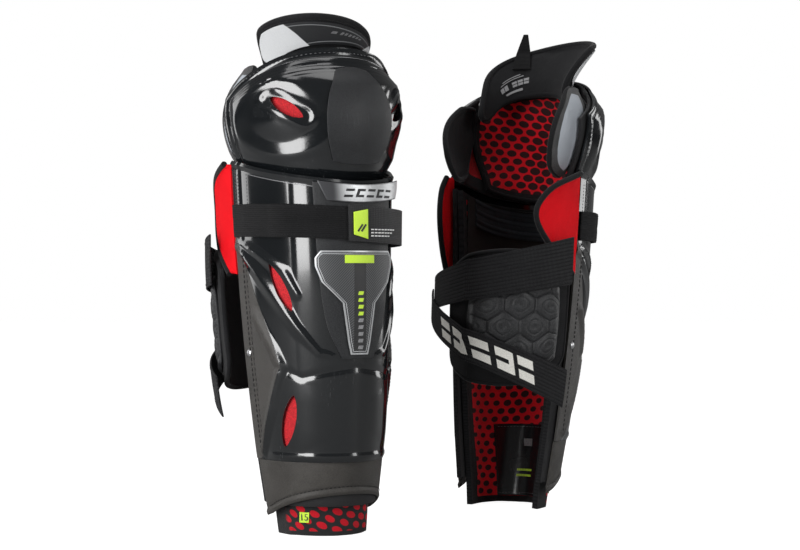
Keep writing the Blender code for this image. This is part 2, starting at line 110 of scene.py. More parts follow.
def on_form(form, angle, height, lift, slack=None):
    """Points in mm at angles round a leg form and heights on it, lifted off the form."""
    angle, height, lift = np.broadcast_arrays(np.asarray(angle, float), height, lift)
    across = np.sin(np.radians(angle))
    along = -np.cos(np.radians(angle))
    half_width = through(form[:, [0, 1]], height) + lift
    front = through(form[:, [0, 2]], height) + lift
    back = through(form[:, [0, 3]], height) + lift
    depth = np.where(along > 0, back, front)
    if slack:
        power = np.where(across < 0, slack[0], slack[1])
        behind = along > 0
        across = np.where(behind, np.sign(across) * np.abs(across) ** power, across)
        along = np.where(behind, np.abs(along) ** power, along)
    x = through(SIDE_LEAN, height) + half_width * across
    y = through(FRONT_LEAN, height) + depth * along
    return np.stack([x, y, height], axis=-1)


def mix(low, high, share):
    return low + (high - low) * share


def stand_of(guard):
    """The transform from a guard's own frame to where the guard stands."""
    flex = next(joint for joint in frame["joints"] if joint["name"] == f"{guard}_knee_flex")
    axis = Vector(flex["axis"])
    turn = Matrix.Rotation(math.atan2(-axis.y, -axis.x), 4, "Z")
    return Matrix.Translation(Vector(flex["pos_m"])) @ turn @ Matrix.Translation(-KNEE_HINGE)


STANDS = {guard: stand_of(guard) for guard in "ab"}


def add_piece(name, data, guard, body, skins):
    """Puts a mesh or curve that is laid out in the guard's frame on its body, with its skins."""
    data.transform(STANDS[guard])
    piece = bpy.data.objects.new(f"{guard}_{name}", data)
    bpy.context.scene.collection.objects.link(piece)
    for skin in skins:
        data.materials.append(skin)
    bpy.context.view_layer.update()
    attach(piece, f"{guard}_{body}")
    return piece


def panel(name, guard, body, place, cells, wall, skins, marks=None):
    """A sheet with a wall, wrapped on a form by `place`. The skins are for its face, its back and its edge.

    Every point carries "lay": how far it is across and up the panel from its middle, and how far from its
    nearest edge, all in mm. `marks` are further values for the points, worked out from (across, up).
    """
    columns, rows = cells
    across, up = np.meshgrid(np.linspace(0, 1, columns + 1), np.linspace(0, 1, rows + 1))
    points = place(across, up)
    width = np.linalg.norm(np.diff(points, axis=1), axis=2).sum(axis=1)[:, None]
    tall = np.linalg.norm(np.diff(points, axis=0), axis=2).sum(axis=0)[None, :]
    edge = np.minimum(np.minimum(across, 1 - across) * width, np.minimum(up, 1 - up) * tall)
    lay = np.stack([(across - 0.5) * width, (up - 0.5) * tall, edge], axis=-1)
    count = (columns + 1) * (rows + 1)
    corner = (np.arange(rows)[:, None] * (columns + 1) + np.arange(columns)[None, :]).ravel()
    faces = np.stack([corner, corner + 1, corner + columns + 2, corner + columns + 1], axis=1)
    data = bpy.data.meshes.new(f"{guard}_{name}")
    data.from_pydata((points.reshape(count, 3) * MM).tolist(), [], faces.tolist())
    data.attributes.new("lay", "FLOAT_VECTOR", "POINT").data.foreach_set("vector", lay.ravel())
    for word, rule in (marks or {}).items():
        values = np.broadcast_to(rule(across, up), across.shape).astype(float)
        data.attributes.new(word, "FLOAT", "POINT").data.foreach_set("value", values.ravel())
    piece = add_piece(name, data, guard, body, skins)
    if wall:
        solid = piece.modifiers.new("wall", "SOLIDIFY")
        solid.thickness = wall * MM
        solid.offset = 1.0
        solid.use_even_offset = True
        solid.material_offset = min(1, len(skins) - 1)
        solid.material_offset_rim = min(2, len(skins) - 1)
    return piece


def settle(piece, crease=38.0):
    """Bakes the piece's modifiers into its mesh, smooth but for edges sharper than the crease."""
    bpy.context.view_layer.update()
    graph = bpy.context.evaluated_depsgraph_get()
    data = bpy.data.meshes.new_from_object(
        piece.evaluated_get(graph), preserve_all_data_layers=True, depsgraph=graph
    )
    piece.modifiers.clear()
    piece.data = data
    data.shade_smooth()
    data.set_sharp_from_angle(angle=math.radians(crease))


def shader(name, colour, roughness, **sockets):
    """A new material, its tree and its Principled shader with the plain values set."""
    made = bpy.data.materials.new(name)
    made.use_nodes = True
    skin = made.node_tree.nodes["Principled BSDF"]
    skin.inputs["Base Color"].default_value = (*colour, 1.0)
    skin.inputs["Roughness"].default_value = roughness
    for word, value in sockets.items():
        skin.inputs[word.replace("_", " ").title().replace("Ior", "IOR")].default_value = value
    return made, made.node_tree, skin


def feed(tree, made, inputs):
    """Sets or links a node's inputs, given by name or number, to plain values or to sockets."""
    for key, value in dict(inputs).items():
        if isinstance(value, bpy.types.NodeSocket):
            tree.links.new(value, made.inputs[key])
        else:
            made.inputs[key].default_value = value


def add_node(tree, kind, inputs=(), **settings):
    """A node with its settings and its inputs."""
    made = tree.nodes.new(kind)
    for word, value in settings.items():
        setattr(made, word, value)
    feed(tree, made, inputs)
    return made


def do_math(tree, operation, *values):
    """The output of a Math node."""
    return add_node(tree, "ShaderNodeMath", enumerate(values), operation=operation).outputs[0]


def step_to(tree, value, low, high):
    """A soft step from 0 to 1 as a socket's value goes from low to high."""
    ramp = add_node(
        tree,
        "ShaderNodeMapRange",
        {"Value": value, "From Min": low, "From Max": high},
        interpolation_type="SMOOTHSTEP",
    )
    return ramp.outputs["Result"]


def blend_colours(tree, share, first, second):
    """The colour between two as a share goes from 0 to 1."""
    made = add_node(tree, "ShaderNodeMix", {"Factor": share}, data_type="RGBA")
    for number, colour in ((6, first), (7, second)):
        plain = not isinstance(colour, bpy.types.NodeSocket)
        feed(tree, made, {number: (*colour, 1.0) if plain else colour})
    return made.outputs[2]


def bump(tree, skin, height, depth, distance=0.001):
    """Turns a height from 0 to 1 into the surface's fine relief."""
    made = add_node(
        tree, "ShaderNodeBump", {"Strength": depth, "Distance": distance, "Height": height}
    )
    tree.links.new(made.outputs[0], skin.inputs["Normal"])


def lay_of(tree):
    """The three parts of a piece's "lay": across, up and in from the edge, in mm."""
    lay = add_node(tree, "ShaderNodeAttribute", attribute_name="lay")
    split = add_node(tree, "ShaderNodeSeparateXYZ", {0: lay.outputs["Vector"]})
    return split.outputs[0], split.outputs[1], split.outputs[2]


def new_group(name, inputs, outputs):
    """An empty shader group with its named inputs and outputs."""
    tree = bpy.data.node_groups.new(name, "ShaderNodeTree")
    for word, kind in inputs.items():
        tree.interface.new_socket(name=word, in_out="INPUT", socket_type=kind)
    for word, kind in outputs.items():
        tree.interface.new_socket(name=word, in_out="OUTPUT", socket_type=kind)
    return tree, tree.nodes.new("NodeGroupInput").outputs, tree.nodes.new("NodeGroupOutput").inputs


def use_group(tree, group, inputs):
    """A group placed in a material, with its own values."""
    made = tree.nodes.new("ShaderNodeGroup")
    made.node_tree = group
    feed(tree, made, inputs)
    return made.outputs


FLOAT = "NodeSocketFloat"

# Fine grain: the speckle and slow unevenness that every moulded or sewn surface has.
grain, grain_in, grain_out = new_group(
    "fine_grain", {"Fineness": FLOAT, "Unevenness": FLOAT}, {"Height": FLOAT, "Shade": FLOAT}
)
where = add_node(grain, "ShaderNodeTexCoord")
speckle = add_node(
    grain,
    "ShaderNodeTexNoise",
    {"Vector": where.outputs["Object"], "Scale": grain_in["Fineness"], "Detail": 3.0},
)
cloud = add_node(
    grain, "ShaderNodeTexNoise", {"Vector": where.outputs["Object"], "Scale": 34.0, "Detail": 4.0}
)
centred = do_math(grain, "SUBTRACT", cloud.outputs[0], 0.5)
swing = do_math(grain, "MULTIPLY", centred, grain_in["Unevenness"])
grain.links.new(speckle.outputs[0], grain_out["Height"])
grain.links.new(do_math(grain, "ADD", swing, 1.0), grain_out["Shade"])

# Woven threads: over and under, from how far across and up the cloth a point is.
weave, weave_in, weave_out = new_group(
    "woven_threads",
    {"Across": FLOAT, "Up": FLOAT, "Thread": FLOAT, "Rib": FLOAT},
    {"Height": FLOAT, "Shade": FLOAT},
)
turns = do_math(weave, "DIVIDE", math.pi, weave_in["Thread"])
warp = do_math(weave, "SINE", do_math(weave, "MULTIPLY", weave_in["Across"], turns))
weft = do_math(
    weave,
    "SINE",
    do_math(weave, "MULTIPLY", do_math(weave, "MULTIPLY", weave_in["Up"], turns), weave_in["Rib"]),
)
crossing = do_math(weave, "MULTIPLY", warp, weft)
raised = do_math(weave, "ABSOLUTE", crossing)
fuzz = add_node(
    weave,
    "ShaderNodeTexNoise",
    {"Vector": add_node(weave, "ShaderNodeTexCoord").outputs["Object"], "Scale": 900.0, "Detail": 2.0},
)
weave.links.new(
    do_math(weave, "ADD", raised, do_math(weave, "MULTIPLY", fuzz.outputs[0], 0.7)), weave_out["Height"]
)
# Shade output: a painted highlight on the raised threads, mixed with random fuzz tone.
thread_highlight_and_fuzz = do_math(weave, "MULTIPLY", do_math(weave, "ADD", raised, fuzz.outputs[0]), 0.55)
weave.links.new(do_math(weave, "ADD", thread_highlight_and_fuzz, 0.55), weave_out["Shade"])

ovals, ovals_in, ovals_out = new_group(
    "oval_print", {"Across": FLOAT, "Up": FLOAT, "Slant": FLOAT, "Size": FLOAT}, {"Ink": FLOAT}
)
leaning = do_math(
    ovals, "ADD", ovals_in["Up"], do_math(ovals, "MULTIPLY", ovals_in["Across"], ovals_in["Slant"])
)
row_place = do_math(ovals, "DIVIDE", leaning, OVAL_PITCH[1])
row = do_math(ovals, "FLOOR", row_place)
odd = do_math(ovals, "MULTIPLY", do_math(ovals, "FLOORED_MODULO", row, 2.0), 0.5)
column_place = do_math(
    ovals, "ADD", do_math(ovals, "DIVIDE", ovals_in["Across"], OVAL_PITCH[0]), odd
)
from_row = do_math(ovals, "SUBTRACT", do_math(ovals, "FRACT", row_place), 0.5)
from_column = do_math(ovals, "SUBTRACT", do_math(ovals, "FRACT", column_place), 0.5)
out_from_centre = do_math(
    ovals,
    "SQRT",
    do_math(
        ovals,
        "ADD",
        do_math(ovals, "POWER", do_math(ovals, "ABSOLUTE", from_column), 2.0),
        do_math(ovals, "POWER", do_math(ovals, "MULTIPLY", from_row, 0.88), 2.0),
    ),
)
inside_oval = do_math(ovals, "SUBTRACT", ovals_in["Size"], out_from_centre)
ovals.links.new(step_to(ovals, inside_oval, -0.02, 0.02), ovals_out["Ink"])


def liner_knit(name, slant, large, small, band):
    """Red knit with black ovals, large at the top and small at the bottom, and a slanting darker band."""
    made, tree, skin = shader(
        name, (0.60, 0.008, 0.02), 0.88, specular_ior_level=0.2, sheen_weight=0.06, sheen_roughness=0.5
    )
    across, up, edge = lay_of(tree)
    place = step_to(tree, up, -130.0, 60.0)
    size = do_math(tree, "ADD", do_math(tree, "MULTIPLY", place, large - small), small)
    off_band = do_math(
        tree,
        "ABSOLUTE",
        do_math(tree, "SUBTRACT", do_math(tree, "ADD", across, do_math(tree, "MULTIPLY", up, 0.35)), band),
    )
    swell = do_math(tree, "MULTIPLY", step_to(tree, off_band, 34.0, 6.0), 0.075)
    ink = use_group(
        tree, ovals, {"Across": across, "Up": up, "Slant": slant, "Size": do_math(tree, "ADD", size, swell)}
    )["Ink"]
    threads = use_group(tree, weave, {"Across": across, "Up": up, "Thread": 0.9, "Rib": 1.0})
    patches = use_group(tree, grain, {"Fineness": 700.0, "Unevenness": 0.7})
    # The red is lighter on the raised threads, a painted highlight, and varies at random in patches.
    light = do_math(tree, "MULTIPLY", threads["Shade"], patches["Shade"])
    red = blend_colours(tree, step_to(tree, light, 0.35, 1.15), (0.40, 0.003, 0.008), (0.86, 0.010, 0.022))
    worn = do_math(tree, "MAXIMUM", do_math(tree, "MULTIPLY", ink, 0.97), step_to(tree, edge, 7.4, 6.8))
    tree.links.new(blend_colours(tree, worn, red, (0.012, 0.010, 0.011)), skin.inputs["Base Color"])
    sunk = do_math(tree, "SUBTRACT", threads["Height"], do_math(tree, "MULTIPLY", ink, 1.6))
    bump(tree, skin, sunk, 0.55)
    return made


def tail_knit():
    """The liner's outer face, seen at its lower end: black knit with red ovals on the inner side."""
    made, tree, skin = shader(
        "black_tail_knit", (0.012, 0.012, 0.013), 0.88, specular_ior_level=0.15, sheen_weight=0.05
    )
    across, up, edge = lay_of(tree)
    ink = use_group(tree, ovals, {"Across": across, "Up": up, "Slant": 0.25, "Size": 0.33})["Ink"]
    printed = do_math(tree, "MULTIPLY", ink, step_to(tree, across, -62.0, -56.0))
    printed = do_math(tree, "MULTIPLY", printed, step_to(tree, edge, 4.0, 5.0))
    threads = use_group(tree, weave, {"Across": across, "Up": up, "Thread": 0.9, "Rib": 1.0})
    # Painted highlight: the black is lighter on the raised threads.
    black = blend_colours(tree, threads["Shade"], (0.006, 0.006, 0.007), (0.022, 0.022, 0.023))
    tree.links.new(blend_colours(tree, printed, black, (0.50, 0.008, 0.018)), skin.inputs["Base Color"])
    bump(tree, skin, threads["Height"], 0.5)
    return made


def plain_cloth(
    name, colour, thread, roughness=0.92, rib=1.0, sheen=0.05, depth=0.6, uneven=0.5, gleam=0.07
):
    """A woven or brushed cloth of one dye, with a painted highlight on its raised threads."""
    made, tree, skin = shader(
        name, colour, roughness, sheen_weight=sheen, sheen_roughness=0.45, specular_ior_level=gleam
    )
    across, up, edge = lay_of(tree)
    threads = use_group(tree, weave, {"Across": across, "Up": up, "Thread": thread, "Rib": rib})
    patches = use_group(tree, grain, {"Fineness": 500.0, "Unevenness": uneven})
    # Painted highlight on the raised threads, times random patches of tone.
    light = do_math(tree, "MULTIPLY", threads["Shade"], patches["Shade"])
    deep = tuple(0.45 * part for part in colour)
    high = tuple(min(1.0, 1.5 * part + 0.004) for part in colour)
    tone = blend_colours(tree, step_to(tree, light, 0.4, 1.3), deep, high)
    tree.links.new(tone, skin.inputs["Base Color"])
    bump(tree, skin, threads["Height"], depth)
    return made


knee_knit = liner_knit("knee_liner_knit", -0.16, 0.40, 0.31, 4.0)
tail_print = tail_knit()
shin_knit = liner_knit("shin_liner_knit", 0.10, 0.36, 0.25, 6.0)
black_brushed = plain_cloth("black_brushed_cloth", (0.011, 0.011, 0.012), 1.0)
binding_tape = plain_cloth("black_binding_tape", (0.010, 0.010, 0.011), 0.8, roughness=0.8, sheen=0.1)


def knee_top(angle):
    return mix(SHIN_LENGTH + 128, SHIN_LENGTH + 82, np.abs(angle / KNEE_HALF) ** 2.4)


def knee_bottom(angle):
    return mix(SHIN_LENGTH - 8, SHIN_LENGTH + 12, np.abs(angle / KNEE_HALF) ** 2.0)


def shin_top(angle):
    return mix(SHIN_LENGTH, SHIN_LENGTH + 22, np.minimum(1.0, np.abs(angle / SHELL_HALF)) ** 1.6)


def shin_liner(across, up):
    half = mix(PAD_HALF - 6, PAD_HALF + 2, up)
    angle = mix(-half, half, across)
    quilt = 0.9 * np.sin(np.pi * (across * 9)) ** 2
    return on_form(SHIN_FORM, angle, mix(0.4, knee_bottom(angle) - 10, up), LINER_SINK + 0.4 - 0.3 * quilt)


def rounded(across, up, amount):
    """Rounds off the corners of a panel that runs 0 to 1 across and up."""
    x, y = 2 * across - 1, 2 * up - 1
    return (x * np.sqrt(1 - amount * y * y / 2) + 1) / 2, (y * np.sqrt(1 - amount * x * x / 2) + 1) / 2


def knee_liner(across, up):
    across, up = rounded(across, up, 0.10)
    angle = mix(-LINER_OUTER, LINER_INNER, across)
    height = mix(knee_bottom(angle) + 3, knee_top(angle) - 13, up)
    dip = 1.2 * np.exp(-(((angle + 6) / 16) ** 2))
    return on_form(KNEE_FORM, angle, height, KNEE_SINK + 0.3 - dip)


def kd_of(points):
    """A search tree of points."""
    tree = KDTree(len(points))
    for number, spot in enumerate(points):
        tree.insert(spot, number)
    tree.balance()
    return tree


def plump(piece, cap):
    """Fills a sewn pad: it is blown up a little as cloth, and no point moves further than the cap in mm."""
    swollen = piece.copy()
    swollen.data = piece.data.copy()
    bpy.context.scene.collection.objects.link(swollen)
    remesh = swollen.modifiers.new("even_cells", "REMESH")
    remesh.mode = "VOXEL"
    remesh.voxel_size = 0.0048
    settle(swollen, 180)
    at_rest = np.empty(len(swollen.data.vertices) * 3)
    swollen.data.vertices.foreach_get("co", at_rest)
    cloth = swollen.modifiers.new("filling", "CLOTH")
    cloth.settings.use_pressure = True
    cloth.settings.uniform_pressure_force = 4.0
    cloth.settings.effector_weights.gravity = 0.0
    cloth.point_cache.frame_end = 14
    for moment in range(1, 15):
        bpy.context.scene.frame_set(moment)
    settle(swollen, 180)
    bpy.context.scene.frame_set(1)
    blown = np.empty(len(swollen.data.vertices) * 3)
    swollen.data.vertices.foreach_get("co", blown)
    move = (blown - at_rest).reshape(-1, 3)
    length = np.maximum(np.linalg.norm(move, axis=1, keepdims=True), 1e-9)
    move *= np.minimum(1.0, cap * MM / length)
    tree = kd_of(at_rest.reshape(-1, 3))
    data = piece.data
    spots = np.empty(len(data.vertices) * 3)
    data.vertices.foreach_get("co", spots)
    spots = spots.reshape(-1, 3)
    for number, spot in enumerate(spots.copy()):
        near = tree.find_n(spot, 6)
        share = np.array([1.0 / (away + 1e-4) for _, _, away in near])
        which = [index for _, index, _ in near]
        spots[number] = spot + (move[which] * (share / share.sum())[:, None]).sum(axis=0)
    data.vertices.foreach_set("co", spots.ravel())
    data.update()
    bpy.data.objects.remove(swollen)


def bind_edge(name, guard, body, place, tape, radius):
    """Tape folded round a panel's edge and sewn down, as a soft round binding."""
    sides = np.linspace(0, 1, 22)
    across = np.concatenate([sides, np.ones(22), sides[::-1], np.zeros(22)])
    up = np.concatenate([np.zeros(22), sides, np.ones(22), sides[::-1]])
    return cord_round(name, guard, body, place(across, up), tape, radius, closed=True)


def cord_round(name, guard, body, points, skin, radius, closed=False):
    """A round cord, piping or rolled edge along points in mm."""
    points = np.asarray(points, float)
    keep = [0]
    for number in range(1, len(points)):
        if np.linalg.norm(points[number] - points[keep[-1]]) > 1.6 * radius:
            keep.append(number)
    points = points[keep]
    data = bpy.data.curves.new(f"{guard}_{name}", "CURVE")
    data.dimensions = "3D"
    run = data.splines.new("NURBS")
    run.points.add(len(points) - 1)
    run.points.foreach_set("co", np.column_stack([points * MM, np.ones(len(points))]).ravel())
    run.order_u = 4
    run.use_cyclic_u = closed
    run.use_endpoint_u = not closed
    run.resolution_u = 3
    data.bevel_depth = radius * MM
    data.bevel_resolution = 3
    data.use_fill_caps = True
    return add_piece(name, data, guard, body, [skin])


for guard in "ab":
    lining = panel("quilted_shin_liner", guard, "shin", shin_liner, (110, 130), LINER - 0.8,
                   [tail_print, shin_knit, binding_tape])
    settle(lining)
    plump(lining, 0.7)
    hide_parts(f"{guard}_shin_liner")
    lining = panel("quilted_knee_liner", guard, "knee", knee_liner, (90, 60), KNEE_LINER - 0.6,
                   [knee_knit, knee_knit, binding_tape])
    settle(lining)
    plump(lining, 0.6)
    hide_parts(f"{guard}_knee_liner")
    bind_edge("knee_liner_binding", guard, "knee", knee_liner, binding_tape, 2.0)


# The foam. A layer of red closed-cell foam is glued inside each cap. It shows only through the vents and as
# a thin line round the edge of the knee.
foam_skin, tree, skin = shader("red_closed_cell_foam", (0.50, 0.010, 0.016), 0.86)
cells = use_group(tree, grain, {"Fineness": 1100.0, "Unevenness": 0.9})
# Painted shade: the foam's red darkens in the low cells of its grain, its pits.
foam_red_with_painted_pit_shade = blend_colours(
    tree, step_to(tree, cells["Height"], 0.3, 0.7), (0.26, 0.004, 0.008), (0.66, 0.014, 0.022)
)
across, up, edge = lay_of(tree)
bound = blend_colours(tree, step_to(tree, edge, 16.5, 16.0), foam_red_with_painted_pit_shade, (0.010, 0.010, 0.011))
tree.links.new(bound, skin.inputs["Base Color"])
bump(tree, skin, cells["Height"], 0.7)


def soften(piece, width, segments=2):
    """Rounds the piece's edges over."""
    edge = piece.modifiers.new("rounded_edge", "BEVEL")
    edge.width = width * MM
    edge.segments = segments
    edge.limit_method = "ANGLE"
    edge.angle_limit = math.radians(50)


def shin_foam(across, up):
    angle = mix(-PAD_HALF, PAD_HALF, across)
    return on_form(SHIN_FORM, angle, mix(30, knee_bottom(angle) - 7, up), -GAP - FOAM)


def knee_foam(across, up):
    angle = mix(-KNEE_HALF - 3, KNEE_HALF + 3, across)
    height = mix(knee_bottom(angle), knee_top(angle), up)
    return on_form(KNEE_FORM, angle, height, -1.5 * GAP - DOMED * KNEE_FOAM)


for guard in "ab":
    for word, place, wall in (("shin", shin_foam, FOAM), ("knee", knee_foam, KNEE_FOAM)):
        layer = panel(f"{word}_foam_layer", guard, word, place, (60, 40), wall,
                      [foam_skin, foam_skin, binding_tape])
        soften(layer, 1.4)
        settle(layer)
        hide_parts(f"{guard}_{word}_foam")


# The shin cap. One moulded shell of gloss black ABS, with a graphite flange down each side where it is sewn
# to the padding, a blade and a fin raised beside the vents, and a rolled lip at its upper and lower ends.
SHELL = 2.6
SPINE_RISE = 2.6
SPINE_HALF = 46.0
CUFF_TOP = 74.0
UPPER_VENT = (57, SHIN_LENGTH - 99, -27, 50, 12)  # angle, height, lean, length, width
LOWER_VENT = (56, 112, 16, 52, 15)
MM_PER_DEGREE = 1.38
FLANGE_LINE = [(74, 92), (79, 89), (120, 74), (164, 60), (183, 65), (231, 80), (270, 91), (300, 99),
               (370, 99)]
UPPER_RIDGE = [(97, SHIN_LENGTH - 54), (75, SHIN_LENGTH - 66), (54, SHIN_LENGTH - 84),
               (44, SHIN_LENGTH - 106)]
LOWER_RIDGE = [(98, SHIN_LENGTH - 58), (78, SHIN_LENGTH - 82), (62, SHIN_LENGTH - 108),
               (46, SHIN_LENGTH - 136), (30, SHIN_LENGTH - 160), (0, SHIN_LENGTH - 168)]
FIN = [(82, 214), (66, 180), (60, 163), (72, 124), (89, 82)]
CREASE = [(60, 163), (44, 154), (22, 160), (0, 164)]


def ease(low, high, at):
    """A soft step from 0 at `low` to 1 at `high`."""
    s = np.clip((at - low) / (high - low), 0, 1)
    return s * s * (3 - 2 * s)


def to_line(angle, height, line):
    """How far in mm a place on a form is from a line of (angle, height) points."""
    nearest = np.full(np.shape(angle), 1e6)
    for (a0, h0), (a1, h1) in zip(line, line[1:]):
        run = np.array([(a1 - a0) * MM_PER_DEGREE, h1 - h0])
        x, y = (angle - a0) * MM_PER_DEGREE, height - h0
        share = np.clip((x * run[0] + y * run[1]) / (run @ run), 0, 1)
        nearest = np.minimum(nearest, np.hypot(x - share * run[0], y - share * run[1]))
    return nearest


def shin_cap_relief(angle, height):
    """How far the shin cap's face stands off its form."""
    side = np.abs(angle)
    spine = SPINE_RISE * np.clip(1 - side / SPINE_HALF, 0, 1) ** 0.5
    upper = 2.6 * np.clip(1 - to_line(side, height, UPPER_RIDGE) / 7, 0, 1) ** 1.4
    lower = 3.4 * np.clip(1 - to_line(side, height, LOWER_RIDGE) / 9, 0, 1) ** 1.3 * ease(0, 26, side)
    fin = 3.8 * np.clip(1 - to_line(side, height, FIN) / 8, 0, 1) ** 1.2
    crease = -1.2 * np.clip(1 - to_line(side, height, CREASE) / 6, 0, 1) ** 1.5
    belly = 2.2 * ease(24, 60, height - CUFF_TOP + 30) * ease(168, 130, height) * ease(76, 30, side)
    rail = 1.5 * ease(SHELL_HALF - 8, SHELL_HALF - 6.4, side)
    lip = 1.5 * np.exp(-(((shin_top(angle) - height - 2.2) / 1.6) ** 2))
    hem = 1.3 * np.exp(-(((height - CUFF_TOP - 4) / 2.6) ** 2)) * ease(88, 70, side)
    return np.maximum.reduce([upper, lower, fin, spine, rail, belly]) + crease + lip + hem


def shin_cap(across, up):
    angle = mix(-SHELL_HALF, SHELL_HALF, across)
    height = mix(CUFF_TOP, shin_top(angle), up)
    return on_form(SHIN_FORM, angle, height, shin_cap_relief(angle, height))


def off_flange(across, up):
    """How far a point of the shin cap is inside the graphite flange, in mm, and less than 0 outside it."""
    angle = mix(-SHELL_HALF, SHELL_HALF, across)
    height = mix(CUFF_TOP, shin_top(angle), up)
    line = np.interp(height, *zip(*FLANGE_LINE))
    return (np.abs(angle) - line) * MM_PER_DEGREE


def vent_cutter(name, guard, form, vent, side, reach=26.0):
    """A pointed slot, drawn on the form and pushed through the shell."""
    angle, height, lean, length, width = vent
    middle = on_form(form, side * angle, height, 0.0)
    outward = Vector(on_form(form, side * angle, height, 10.0) - middle).normalized()
    aside = Vector((0, 0, 1)).cross(outward).normalized()
    tilt = Matrix.Rotation(math.radians(side * lean), 3, outward)
    turn = np.linspace(0, 2 * math.pi, 40, endpoint=False)
    ring = []
    for x, z in zip(width / 2 * np.sin(turn) * np.abs(np.sin(turn)) ** 0.45, length / 2 * np.cos(turn)):
        ring.append(Vector(middle) + tilt @ (aside * x + Vector((0, 0, 1)) * z) - outward * reach / 3)
    far = [spot + outward * reach for spot in ring]
    size = len(ring)
    walls = [[size + i, size + (i + 1) % size, (i + 1) % size, i] for i in range(size)]
    data = bpy.data.meshes.new(f"{guard}_{name}")
    data.from_pydata(
        [spot * MM for spot in ring + far], [], walls + [list(range(size)), list(range(size, 2 * size))[::-1]]
    )
    cutter = bpy.data.objects.new(f"{guard}_{name}", data)
    bpy.context.scene.collection.objects.link(cutter)
    cutter.matrix_world = STANDS[guard]
    return cutter


def cut_vents(shell, guard, form, vents):
    """Cuts each vent through both sides of a shell."""
    for number, vent in enumerate(vents):
        for side in (-1, 1):
            cutter = vent_cutter(f"vent_cutter_{number}_{side}", guard, form, vent, side)
            slot = shell.modifiers.new("vent", "BOOLEAN")
            slot.operation = "DIFFERENCE"
            slot.object = cutter
            settle(shell)
            bpy.data.objects.remove(cutter)


# Rub marks: long fine scratches and a few dull scuffs, which roughen a gloss shell here and there.
scuffs, scuffs_in, scuffs_out = new_group("rub_marks", {"Amount": FLOAT}, {"Scratch": FLOAT, "Scuff": FLOAT})
place = add_node(scuffs, "ShaderNodeTexCoord").outputs["Object"]
along = add_node(scuffs, "ShaderNodeMapping", {"Vector": place, "Scale": (900.0, 900.0, 26.0)})
along.inputs["Rotation"].default_value = (0.35, 0.2, 0.0)
lines = add_node(scuffs, "ShaderNodeTexNoise", {"Vector": along.outputs[0], "Scale": 1.0, "Detail": 2.0})
patch = add_node(scuffs, "ShaderNodeTexNoise", {"Vector": place, "Scale": 21.0, "Detail": 5.0})
here = step_to(scuffs, patch.outputs[0], 0.48, 0.72)
marked = do_math(scuffs, "MULTIPLY", step_to(scuffs, lines.outputs[0], 0.62, 0.72), here)
scuffs.links.new(do_math(scuffs, "MULTIPLY", marked, scuffs_in["Amount"]), scuffs_out["Scratch"])
scuffs.links.new(do_math(scuffs, "MULTIPLY", here, scuffs_in["Amount"]), scuffs_out["Scuff"])


def gloss_shell(name, with_flange):
    """Gloss black ABS, with the graphite grain of the flange where the shell has one."""
    made, tree, skin = shader(name, (0.006, 0.007, 0.008), 0.16, coat_weight=0.35, coat_roughness=0.05)
    marks = use_group(tree, scuffs, {"Amount": 1.0})
    speck = use_group(tree, grain, {"Fineness": 2400.0, "Unevenness": 0.5})
    gloss = do_math(
        tree,
        "ADD",
        0.13,
        do_math(
            tree,
            "ADD",
            do_math(tree, "MULTIPLY", marks["Scratch"], 0.25),
            do_math(tree, "MULTIPLY", marks["Scuff"], 0.05),
        ),
    )
    black = blend_colours(
        tree, do_math(tree, "MULTIPLY", marks["Scratch"], 0.6), (0.0055, 0.0065, 0.0075), (0.05, 0.052, 0.055)
    )
    if not with_flange:
        tree.links.new(black, skin.inputs["Base Color"])
        tree.links.new(gloss, skin.inputs["Roughness"])
        bump(tree, skin, speck["Height"], 0.03)
        return made
    inward = add_node(tree, "ShaderNodeAttribute", attribute_name="flange").outputs["Fac"]
    matte = step_to(tree, inward, -0.5, 0.5)
    graphite_tone = blend_colours(
        tree,
        step_to(tree, do_math(tree, "MULTIPLY", speck["Height"], speck["Shade"]), 0.35, 0.65),
        (0.020, 0.0185, 0.017),
        (0.050, 0.046, 0.042),
    )
    tree.links.new(blend_colours(tree, matte, black, graphite_tone), skin.inputs["Base Color"])
    rough = add_node(tree, "ShaderNodeMix", {"Factor": matte, 2: gloss, 3: 0.5})
    tree.links.new(rough.outputs[0], skin.inputs["Roughness"])
    coat = do_math(tree, "MULTIPLY", do_math(tree, "SUBTRACT", 1.0, matte), 0.35)
    tree.links.new(coat, skin.inputs["Coat Weight"])
    bump(tree, skin, do_math(tree, "MULTIPLY", speck["Height"], matte), 0.35)
    return made


def matte_plastic(name, low, high, roughness, fineness, depth=0.3):
    """Moulded plastic with a fine texture in the tool."""
    made, tree, skin = shader(name, low, roughness, specular_ior_level=0.3)
    speck = use_group(tree, grain, {"Fineness": fineness, "Unevenness": 0.6})
    marks = use_group(tree, scuffs, {"Amount": 1.0})
    level = do_math(tree, "MULTIPLY", speck["Height"], speck["Shade"])
    tone = blend_colours(tree, step_to(tree, level, 0.35, 0.65), low, high)
    rubbed = blend_colours(tree, do_math(tree, "MULTIPLY", marks["Scratch"], 0.4), tone, (0.10, 0.10, 0.10))
    tree.links.new(rubbed, skin.inputs["Base Color"])
    dull = do_math(tree, "ADD", roughness, do_math(tree, "MULTIPLY", marks["Scuff"], -0.10))
    tree.links.new(dull, skin.inputs["Roughness"])
    bump(tree, skin, speck["Height"], depth)
    return made


def speckled_skin(name, colour, roughness, fineness, unevenness, low, high, depth, **sockets):
    """A skin of one tone with a fine grain, darker in its pits as painted shade."""
    made, tree, skin = shader(name, colour, roughness, **sockets)
    speck = use_group(tree, grain, {"Fineness": fineness, "Unevenness": unevenness})
    tree.links.new(blend_colours(tree, speck["Height"], low, high), skin.inputs["Base Color"])
    bump(tree, skin, speck["Height"], depth)
    return made


